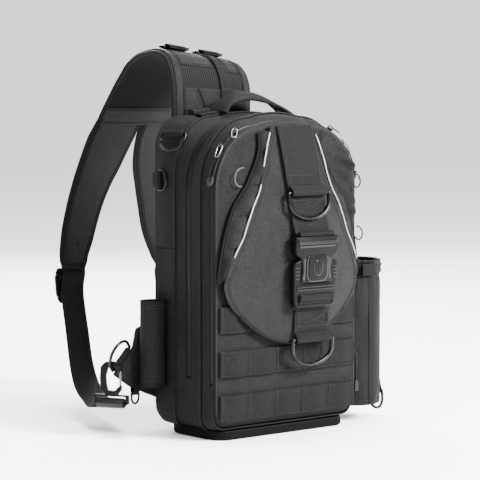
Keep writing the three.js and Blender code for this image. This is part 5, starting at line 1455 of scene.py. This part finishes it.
def strap_straps():
    """38 mm webbing from each pad down and round to its hook, looped round the hook's eye."""
    eye = HOOK + V(0, 0, -49.5)
    tail = eye + HOOK_SIDE * 11.65
    points = [STRAP_END + V(0, 0, -3.8), STRAP_END + V(-6, -4, -33.3), STRAP_END + V(-18, -31, -82.3),
              STRAP_END + V(-32, -60, -123.4), STRAP_END + V(-48, -96, -150.8), V(-142.0, 164.8, 32.2),
              V(-164.0, 119.2, 30.2), tail - HOOK_SIDE * 2]
    pad = strap_line(86, 0.6)[[66, 72, 78, 83], :3]
    lean = unit(np.cross(SIDEWAYS, unit(pad[-1] - pad[0])))
    lean = lean * np.sign(lean[1])
    points = [p + lean * k for p, k in zip(pad, (4.6, 4.7, 4.6, 4.0))] + points
    path = spline(points, 150)
    share = np.clip(np.linspace(-0.22, 1, 150), 0, 1)
    turn = np.clip((share - 0.35) / 0.65, 0, 1)
    turn = (turn * turn * (3 - 2 * turn))[:, None]
    across = unit(SIDEWAYS * (1 - turn) + HOOK_BAR * turn)
    band = strap("strap_webbing_left_band", path, across, STRAP_WIDTH, 1.8, "webbing", replaces=("strap_webbing_left",))
    mirrored(band, "strap_webbing_right")
    loop = loop_round("strap_eye_loop_left", STRAP_WIDTH, 3.25, 7, eye, HOOK_BAR, HOOK_SIDE)
    mirrored(loop)
    roll_path = np.stack([eye - HOOK_SIDE * 2.2 + HOOK_BAR * k for k in np.linspace(-18.5, 18.5, 12)])
    roll_size = 6.9 - 0.5 * np.abs(np.linspace(-1, 1, 12)) ** 4
    mirrored(tube("strap_eye_roll_left", roll_path, roll_size, "gloss", sides=18, side=UP))
    along = unit(np.gradient(path, axis=0))
    out = np.cross(along, across)
    for sign in (-1, 1):
        for side in (-1, 1):
            row = path + across * sign * 16.0 + out * side * 0.9
            thread.pair(row, out * side, 3.6)
    for k in (2, 5, 14, 130, 134):
        row = path[k] + across[k] * np.linspace(-17, 17, 20)[:, None] + out[k] * -0.95
        thread.pair(row, -out[k], 1.6, "bartack")
    start = STRAP_END + V(0, 0, -3.8)
    up = unit(V(6, 4, 33.3))
    back = unit(np.cross(-SIDEWAYS, up))
    place = start + up * -35 + back * (2.5 + 0.9 + 2.4)
    outside = [(-23, 3), (-19, 0), (19, 0), (23, 3), (23, 31), (19, 34), (-19, 34), (-23, 31)]
    hole = lambda low, high: rounded([(-20, low), (20, low), (20, high), (-20, high)], 1.2)
    slider = moulded("strap_slider_left_frame", rounded(outside, 3), 5.0, "plastic", place, SIDEWAYS, up,
                     [hole(6.5, 12), hole(21.5, 27.5)], 1.2, replaces=("strap_slider_left",))
    mirrored(slider, "strap_slider_right")
    for name, bent in (("fold", ((-4.6, 3), (-3.4, 6.2), (1.0, 9.2), (4.2, 12.6), (4.9, 16.8), (4.2, 21), (1.0, 24.4),
                                 (-3.4, 27.6), (-4.6, 31))),
                       ("cover", ((-1.0, -7), (3.4, -2), (5.6, 5), (6.3, 17), (5.6, 29), (3.4, 36), (-1.0, 41)))):
        path = pose(spline([(0, y, z) for y, z in bent], 40), place, SIDEWAYS, up)
        mirrored(strap(f"strap_{name}_left", path, SIDEWAYS, STRAP_WIDTH, 1.7, "webbing"))
    for k in range(3):
        rib = tube(f"strap_slider_rib_{k + 1}_left", pose([(x, 2.4, 14.6 + 2.1 * k) for x in np.linspace(-19, 19, 8)],
                                                          place, SIDEWAYS, up), 0.9, "gloss", side=UP)
        mirrored(rib)


def wings():
    """Padded triangle behind each lower corner, with the webbing loop and D-ring at its tip."""
    table = [(0, 1), (0.6, 0.9), (0.68, 0.68), (1.12, 0.38), (0.76, 0.22), (0.5, 0.15), (0, 0.02)]
    plan = [(-106 - 72 * out, 38 + 112 * up) for out, up in table]
    piece = moulded("wing_left_cloth", rounded(plan, 3.0), 7.0, "nylon", V(0, WING_Y, 0), SIDEWAYS, UP, bevel=2.2,
                    replaces=("wing_left",))
    mirrored(piece, "wing_right")
    plan_array = np.array(plan)
    centre = plan_array.mean(0)
    inner = even(np.vstack([centre + (plan_array - centre) * 0.9, centre + (plan_array[:1] - centre) * 0.9]), 120)
    for depth, way in ((-3.5, -1), (3.5, 1)):
        row = np.column_stack([inner[:, 0], np.full(120, WING_Y + depth), inner[:, 1]])
        thread.pair(row, BACKWARD * way, 3.2)
    loop = loop_round("wing_loop_left", 34, 1.7, 4, WING_BAR, TIP_BAR, np.cross(TIP_BAR, FORWARD))
    mirrored(loop)
    ring = wire_ring("wing_ring_left_wire", 40, 28, 2.1, WING_BAR, TIP_BAR, -RING_OUT, replaces=("wing_ring_left",))
    mirrored(ring, "wing_ring_right")


def hooks():
    """Snap hook with a toothed spine, an eye frame for the strap and a bent wire gate."""
    spine = []
    for k, z in enumerate(np.linspace(-5.5, -31.5, 19)):
        bulge = -15.2 - 1.0 * math.sin(PI * (z + 5) / -27.5)
        spine.append((bulge + (1.3 if k % 2 else 0.0), z))
    outside = [(10, -7.5), (15, -6.8), (14, -0.7), (7.5, 4), (0, 5), (-8.2, 3.5), (-13.5, -1.5)] + spine + [
        (-12.5, -34.5), (-7.5, -39), (-24, -39), (-24, -51), (24, -51), (24, -39), (9, -39), (15, -30.6), (10, -28.6),
        (5.2, -34), (-5.2, -33.3), (-7, -25.5), (-7.6, -13.6), (-4.5, -4.4), (0, -1.2), (6.5, -3)]
    eye = rounded([(-20.5, -48), (20.5, -48), (20.5, -41.2), (-20.5, -41.2)], 1.5)
    piece = moulded("snap_hook_left_body", rounded(outside, 1.2, 4), 6.5, "plastic", HOOK, HOOK_BAR, UP, [eye], 1.1,
                    replaces=("snap_hook_left",))
    mirrored(piece, "snap_hook_right")
    for name, mirror in (("left", 1), ("right", -1)):
        wire = spline([(12.5, -1.9, -27.4), (12.5, -1.9, -18), (12.5, -1.8, -10.5), (12.5, -1.2, -8.9),
                       (12.5, 1.2, -8.9), (12.5, 1.8, -10.5), (12.5, 1.9, -18), (12.5, 1.9, -27.4)], 60)
        path = pose(wire, HOOK, HOOK_BAR, UP) * (mirror, 1, 1)
        tube(f"hook_gate_{name}_wire", path, 0.75, "bright", side=unit(HOOK_BAR * (mirror, 1, 1)),
             body=f"gate_{name}", replaces=(f"hook_gate_{name}",))
        pin = pose([(12.5, k, -28.6) for k in np.linspace(-3.9, 3.9, 6)], HOOK, HOOK_BAR, UP) * (mirror, 1, 1)
        tube(f"hook_pin_{name}", pin, 1.4, "steel", side=UP)
    for k, place in enumerate((V(-8.5, 0, -36.5), V(8.5, 0, -36.5))):
        pin = pose(np.array([place + V(0, d, 0) for d in np.linspace(-3.8, 3.8, 6)]), HOOK, HOOK_BAR, UP)
        rivet = tube(f"hook_rivet_{k + 1}_left", pin, 1.6, "steel", side=UP)
        mirrored(rivet)


# Handle, holster and pocket
def handle():
    """Haul handle: a folded strap over the top, wide and flat at its feet and rolled in the middle."""
    t = np.linspace(0, 1, 90)
    x = -46 + 132 * t
    rise = 34 * np.sin(PI * t**0.9) ** 0.75
    base = outline(26.0)[0]
    upper = base[base[:, 2] > 300]
    order = np.argsort(upper[:, 0])
    ground = np.interp(x, upper[order, 0], upper[order, 2])
    ends = ground[0] + (ground[-1] - ground[0]) * t
    z = np.maximum(ends + rise, ground + 3.4)
    path = even(np.column_stack([x, np.full(90, 26.0), z]), 110)
    s = np.linspace(0, 1, 110)
    width = 34 * (1 - 0.2 * np.sin(PI * s)) + 8 * np.exp(-(s / 0.07) ** 2) + 4 * np.exp(-((1 - s) / 0.07) ** 2)
    profile = np.stack([flat_profile(w, 4.0, 16, 5) for w in width])
    u = profile[..., 0] / (width[:, None] / 2)
    profile[..., 1] -= 2.6 * np.sin(PI * s)[:, None] ** 2 * u**2
    path = path - UP * (2.5 * np.sin(PI * s)[:, None])
    tilt = BACKWARD + UP * (0.42 * np.sin(PI * s)[:, None] ** 2)
    surface("haul_handle_strap", carry(path, profile, unit(tilt)), "webbing", around=True,
            replaces=("haul_handle",))
    along = unit(np.gradient(path, axis=0))
    tilt = unit(tilt - along * (along * tilt).sum(1, keepdims=True))
    out = np.cross(along, tilt)
    for sign in (-1, 1):
        for side in (-1, 1):
            drop = 2.6 * np.sin(PI * s) ** 2 * 0.72
            row = path + tilt * (sign * (width / 2 - 3.5))[:, None] + out * (side * 2.0 - drop)[:, None]
            thread.row(row, out * side, 3.4)
    for place in (5, 9, 100, 104):
        row = path[place] + BACKWARD * np.linspace(-15, 15, 22)[:, None] + out[place] * -2.1
        thread.row(row, -out[place], 1.5, "bartack")


def holster():
    """Rod holster: a cloth tube with a bound mouth, a hem and a flange sewn to its backing panel."""
    cx, cy, r = -138.9, 45.0, 16.4
    z = np.linspace(64, 176, 62)
    a = np.linspace(0, 2 * PI, 73)[:-1]
    A, Z = np.meshgrid(a, z)
    fold = 0.35 * np.sin(3 * A + Z / 17) + 0.25 * ripple(np.stack([np.cos(A) * 20, np.sin(A) * 20, Z], -1), 40, 71)
    hem = -0.35 * np.exp(-((Z - 72) / 1.2) ** 2) - 0.35 * np.exp(-((Z - 169) / 1.2) ** 2)
    R = r + np.clip(fold, -1, 0.1) + hem
    outer = np.stack([cx + R * np.cos(A), cy + R * np.sin(A), Z], -1)
    R2 = R - 1.8
    inner = np.stack([cx + R2 * np.cos(A), cy + R2 * np.sin(A), Z], -1)[::-1]
    surface("rod_holster_cloth", np.concatenate([outer, inner]), "nylon", around=True, ring=True,
            replaces=("rod_holster",))
    ring = lambda zz, rr: np.stack([cx + rr * np.cos(a), cy + rr * np.sin(a), zz + 0 * a], -1)
    for name, zz in (("top", 175.6), ("low", 64.4)):
        tube(f"rod_holster_binding_{name}", ring(zz, r - 0.9), 1.3, "binding", closed=True, side=UP)
    for zz in (72, 170.5, 167.5):
        path = ring(zz, r - 0.1)
        thread.row(np.vstack([path, path[:1]]), (path - V(cx, cy, zz)).tolist() + [(r, 0, 0)], 3.2)
    y = np.linspace(21, 61, 15)
    zz = np.linspace(38, 244, 70)
    Y, ZZ = np.meshgrid(y, zz)
    X = -122.1 + 0.4 * np.abs((Y - 41) / 20) ** 8
    slab("holster_backing_cloth", np.stack([X, Y, ZZ], -1), np.stack([X * 0 - 120.35, Y, ZZ], -1), "nylon",
         replaces=("holster_backing",))
    for line in (23.2, 58.8):
        thread.row(np.column_stack([np.full(80, -122.2), np.full(80, line), np.linspace(40, 242, 80)]), -SIDEWAYS, 3.4)
    for zz in (40.2, 241.8, 186, 181):
        thread.row(np.column_stack([np.full(20, -122.2), np.linspace(23, 59, 20), np.full(20, zz)]), -SIDEWAYS, 3.0)
    for sign in (-1, 1):
        edge = V(-122.6, 45 + sign * 15.0, 0) + UP * np.linspace(66, 174, 50)[:, None]
        strap(f"rod_holster_flange_{sign + 2}", edge, BACKWARD, 5.0, 1.2, "nylon")


def pocket():
    """Bottle pocket: a tube with its bag side flattened, an elastic hem drawn in by small gathers."""
    cx, cy, r, low, high = 154.0, -22.0, 38.0, 22.0, 218.0
    a = np.linspace(0, 2 * PI, 145)[:-1]

    def hoop(zz, radius, share=1.0, floor=0.0):
        draw = 3.4 * np.exp(-((zz - 204) / 9.0) ** 2)
        gather = 0.9 * np.sin(26 * a + 1.3 * np.sin(3 * a)) * np.exp(-((zz - 204) / 15.0) ** 2)
        folds = 2.4 * ripple(np.column_stack([40 * np.cos(a), 40 * np.sin(a), zz + 0 * a]) * V(1, 1, 0.35), 34, 81)
        rr = (radius - draw + np.minimum(gather, 0.3) + np.minimum(folds, 0) * 0.9) * share
        x = np.maximum(cx + rr * np.cos(a), 123.7 + floor)
        return np.stack([x, cy + rr * np.sin(a), zz + 0 * a], -1)

    zs = np.concatenate([low + 0.02 + 4 * np.linspace(0, 1, 5) ** 2, np.linspace(28, high, 74)])
    insets = np.concatenate([3.2 * (1 - np.linspace(0, 1, 5)) ** 2, np.zeros(74)])
    outer = [hoop(low, r, share) for share in (0.03, 0.5, 0.9)]
    outer += [hoop(z, r - i) for z, i in zip(zs, insets)]
    inner = [hoop(z, r - 2.0, 1.0, 2.0) for z in np.linspace(high, low + 3, 30)]
    inner += [hoop(low + 2.4, r - 2, s, 2.0) for s in (0.9, 0.5, 0.03)]
    surface("bottle_pocket_cloth", np.array(outer + inner), "nylon", around=True, ring=True,
            replaces=("bottle_pocket",))
    hem = hoop(high - 0.4, r - 1.0, 1.0, 1.0)
    tube("bottle_pocket_hem", hem, 1.9, "binding", closed=True, side=UP)
    out = hoop(100, r) - V(cx, cy, 100)
    for zz in (high - 7, high - 20, low + 7):
        path = hoop(zz, r + 0.15)
        thread.row(np.vstack([path, path[:1]]), np.vstack([out, out[:1]]), 3.2)
    seam = np.array([hoop(z, r)[108] for z in np.linspace(low + 4, high - 2, 60)])
    strap("bottle_pocket_side_tape", seam + V(0, -0.4, 0), SIDEWAYS, 9, 1.0, "webbing")
    lock = V(cx + r + 2.5, cy - 8, high - 12)
    bent = ((-2, -12, -2), (1.6, -12, -5), (2.6, -11, -12), (2.4, -9, -22), (2.0, -6, -26), (2.4, -3.5, -22),
            (2.6, -3, -12), (1.6, -2.5, -5), (-2, -2.5, -2))
    path = spline([(cx + r + out_by, cy + over, high + down) for out_by, over, down in bent], 60)
    tube("bottle_pocket_draw_cord", path, 1.1, "cord", side=SIDEWAYS)
    a2 = np.linspace(0, 2 * PI, 25)[:-1]
    barrel = [(0.1, -7), (3.6, -7), (4.4, -6), (4.4, -2), (3.7, -1.4), (3.7, 1.4), (4.4, 2), (4.4, 6), (3.6, 7),
              (0.1, 7)]
    grid = np.stack([np.column_stack([rr * np.cos(a2), rr * np.sin(a2), h + 0 * a2]) for rr, h in barrel])
    surface("bottle_pocket_cord_lock", grid + lock, "gloss", around=True)


def side_tabs():
    """Webbing loops with their wire rings on the side, the pocket and the yoke."""
    tabs = {
        "side_upper": ((-115.227, 28.669, 393.71), (-0.287, 0.958, 0), (0.521, 0.156, 0.839), (0.421, 0.126, 0.898),
                       32, 1.7, 8, 24),
        "side_lower": ((-124.4, 48.5, 332.74), (0, 0, 1), (0, 1, 0), (0, 1, 0), 20, 1.7, 8, 15),
        "pocket": ((196.9, -22, 36), (0, 1, 0), (-0.1, 0, 0.995), (-0.1, 0, 0.995), 22, 2.0, 11, 26),
        "yoke_1": ((-41.25, 120.012, 504.861), (0.992, 0, -0.129), (0, -1, 0), (0, -1, 0), 32, 1.7, 8, 18),
        "yoke_2": ((16.5, 120.012, 497.354), (0.992, 0, -0.129), (0, -1, 0), (0, -1, 0), 32, 1.7, 8, 18),
    }
    for name, (point, bar, up, ring_up, width, wire, tail, depth) in tabs.items():
        loop_round(f"{name}_tab_loop", width, wire, tail, V(*point), V(*bar), V(*up), replaces=(f"{name}_tab",))
        wire_ring(f"{name}_ring_wire", width + 2 * wire + 2, depth, wire, V(*point), V(*bar), V(*ring_up),
                  replaces=(f"{name}_ring",))
    wire_ring("wing_small_ring_wire", 12, 14, 1.5, V(-151.36, 66.3, 53.72), SIDEWAYS, UP,
              replaces=("wing_small_ring",))
    bent = ((61.6, 84), (61.4, 72), (61.8, 61), (63.4, 55), (66.3, 51.2), (69.0, 54), (70.6, 60), (71.2, 72))
    hanger = spline([(-151.4, y, z) for y, z in bent], 36)
    strap("wing_small_ring_tab", hanger, SIDEWAYS, 9.5, 1.3, "webbing")


def zip_sliders():
    """Sliders on the front zipper: a wedge body, a bridge, a wire puller and a looped cord."""
    frames = (((-103.284, -54.118, 378.957), (0.266, -0.964, 0), (0.536, 0.148, 0.831)),
              ((-81.408, -54.607, 397.973), (0.695, -0.719, 0), (0.591, 0.571, 0.569)))
    places = [(k, 1) for k in range(2)] + [(k, -1) for k in range(2)]
    for k, mirror in places:
        point, bar, up = [V(*v) for v in frames[k]]
        name = f"zip_slider_{k + 1}" if mirror > 0 else f"zip_slider_right_{k + 1}"
        stands_for = (f"front_zip_slider_{k + 1}",) if mirror > 0 else ()
        body = [(-3.4, 4), (3.4, 4), (4.4, -3.6), (1.9, -5), (-1.9, -5), (-4.4, -3.6)]
        made = [moulded(name + "_body", rounded(body, 1.2), 2.6, "steel", point, bar, up, bevel=0.6,
                        replaces=stands_for)]
        bridge = pose(spline([(0, -1.2, 3.2), (0, -3.2, 2.4), (0, -3.6, 0), (0, -3.0, -2.6), (0, -1.2, -3.4)], 20),
                      point, bar, up)
        made.append(tube(name + "_bridge", bridge, 0.8, "steel", side=bar))
        pull = pose(ring_path(6.6, 17, square=0.7) + (0, -2.8, -0.6), point, bar, up)
        made.append(tube(name + "_puller", pull, 0.85, "bright", closed=True))
        if mirror < 0:
            for piece in made:
                turn_over(piece)


def hanging(name, points, diameter, finish="cord"):
    """A free cord on a smooth curve; the curve's length is worked out but not used."""
    path = spline(points, 48)
    cord = tube(name, path, diameter / 2, finish, sides=8, side=V(0.3, 0.2, 1))
    real = float(length(path)) / 1000
    return cord


def edge_x(y, z):
    """Half width of the body at a depth and a height."""
    ring = outline(float(y))[0]
    right = ring[ring[:, 0] > 0]
    order = np.argsort(right[:, 2])
    return float(np.interp(z, right[order, 2], right[order, 0]))


def cord_pulls():
    """Cord loops on the sliders, the pulls beside the bottle pocket and the small loops on the right."""
    fall = ((1.0, -59.5, 372), (2.5, -60, 362), (3.0, -60, 350), (3.4, -59, 338), (3.8, -56, 331.5), (3.6, -52, 334),
            (3.0, -51, 344), (2.6, -52, 356), (2.2, -54, 366))
    for side, name in ((-1, "left"), (1, "right")):
        drop = [(edge_x(-56, z) + k, y, z) for k, y, z in fall]
        hanging(f"slider_cord_{name}", [(side * x, y, z) for x, y, z in drop], 1.8)
        tip = spline([(side * (edge_x(-56, 333) + 3.8), y, z) for y, z in ((-60.2, 341), (-59, 334), (-56, 330.6),
                                                                           (-52.6, 332), (-51.2, 339))], 24)
        tube(f"slider_cord_end_{name}", tip, 1.9, "rubber", side=SIDEWAYS, sides=10)
    curve = [(-80, 352), (-87, 351), (-94, 347.5), (-98, 340), (-96.5, 333), (-91, 328.5), (-84, 327.5)]
    points = [(x, float(clear(np.array(x), np.array(z))) - 3.5 - 4.0 * math.sin(PI * k / 6), z)
              for k, (x, z) in enumerate(curve)]
    hanging("flap_slider_pull_left", points, 1.9, "pull")
    for k, (x, z) in enumerate(((112, 329), (116, 259))):
        loop = [(x, z + 9), (x + 5, z + 7), (x + 8, z), (x + 6, z - 7), (x + 1, z - 9), (x - 2, z - 5)]
        points = [(a, float(clear(np.array(min(a, 112.0)), np.array(b))) - 5.0 - 3 * math.sin(PI * i / 5), b)
                  for i, (a, b) in enumerate(loop)]
        hanging(f"right_pull_{k + 1}", points, 2.0)
    end = moulded("zip_pull_end", rounded([(-2.6, 0), (2.6, 0), (3, -15), (-3, -15)], 1.5), 4.0, "rubber",
                  V(130.5, -55.5, 58), unit(V(0.9, -0.4, 0)), UP, bevel=1.2)
    path = [(121.8, -50.5, 102), (125.5, -54, 101), (128.5, -56, 94), (129.8, -56, 84), (130.4, -55.6, 72),
            (130.5, -55.5, 60), (130.5, -55.5, 56)]
    hanging("zip_pull_cord", path, 2.2)
    moulded("pocket_small_tab", rounded([(-10, 8), (10, 8), (10, -8), (-10, -8)], 2), 2.6, "webbing",
            V(147, -61.3, 207), unit(V(0.985, -0.17, 0)), UP, bevel=0.8)
    grid = pose(ring_path(9, 9, square=0.1), V(196.6, -19, 180), BACKWARD, V(0.3, 0, 0.95))
    tube("pocket_small_loop", grid, 1.3, "cord", closed=True)


def root_straps():
    """Folded strap end and its base at the root of the yoke, laid on the roof's line at y = 45."""
    roof = outline(45.0)[0]
    roof = roof[roof[:, 2] > 300]
    roof = roof[np.argsort(roof[:, 0])]
    x = np.linspace(-76, -46, 16)
    top = np.interp(x, roof[:, 0], roof[:, 2])
    tube("root_roll", np.column_stack([x, 42 + 0.4 * np.sin(x), top + 4.0]), 4.4, "webbing", side=UP, sides=16)
    for name, x0, y0, y1, wide in (("root_roll_tail", -61, 40, 20, 29), ("root_roll_base", -61, 44, 62, 29),
                                   ("root_flap_ear", -38, 52, 22, 22)):
        y = np.linspace(y0, y1, 12)
        z = np.interp(x0, roof[:, 0], roof[:, 2]) + 1.6 + 1.2 * np.sin(PI * np.linspace(0, 1, 12))
        strap(name, np.column_stack([np.full(12, float(x0)), y, z]), unit(V(1, 0, 0.12)), wide, 1.8, "webbing")


back_pad()
yoke()
strap_pads()
strap_straps()
wings()
hooks()
handle()
holster()
pocket()
side_tabs()
zip_sliders()
cord_pulls()
root_straps()


thread.make("stitching")
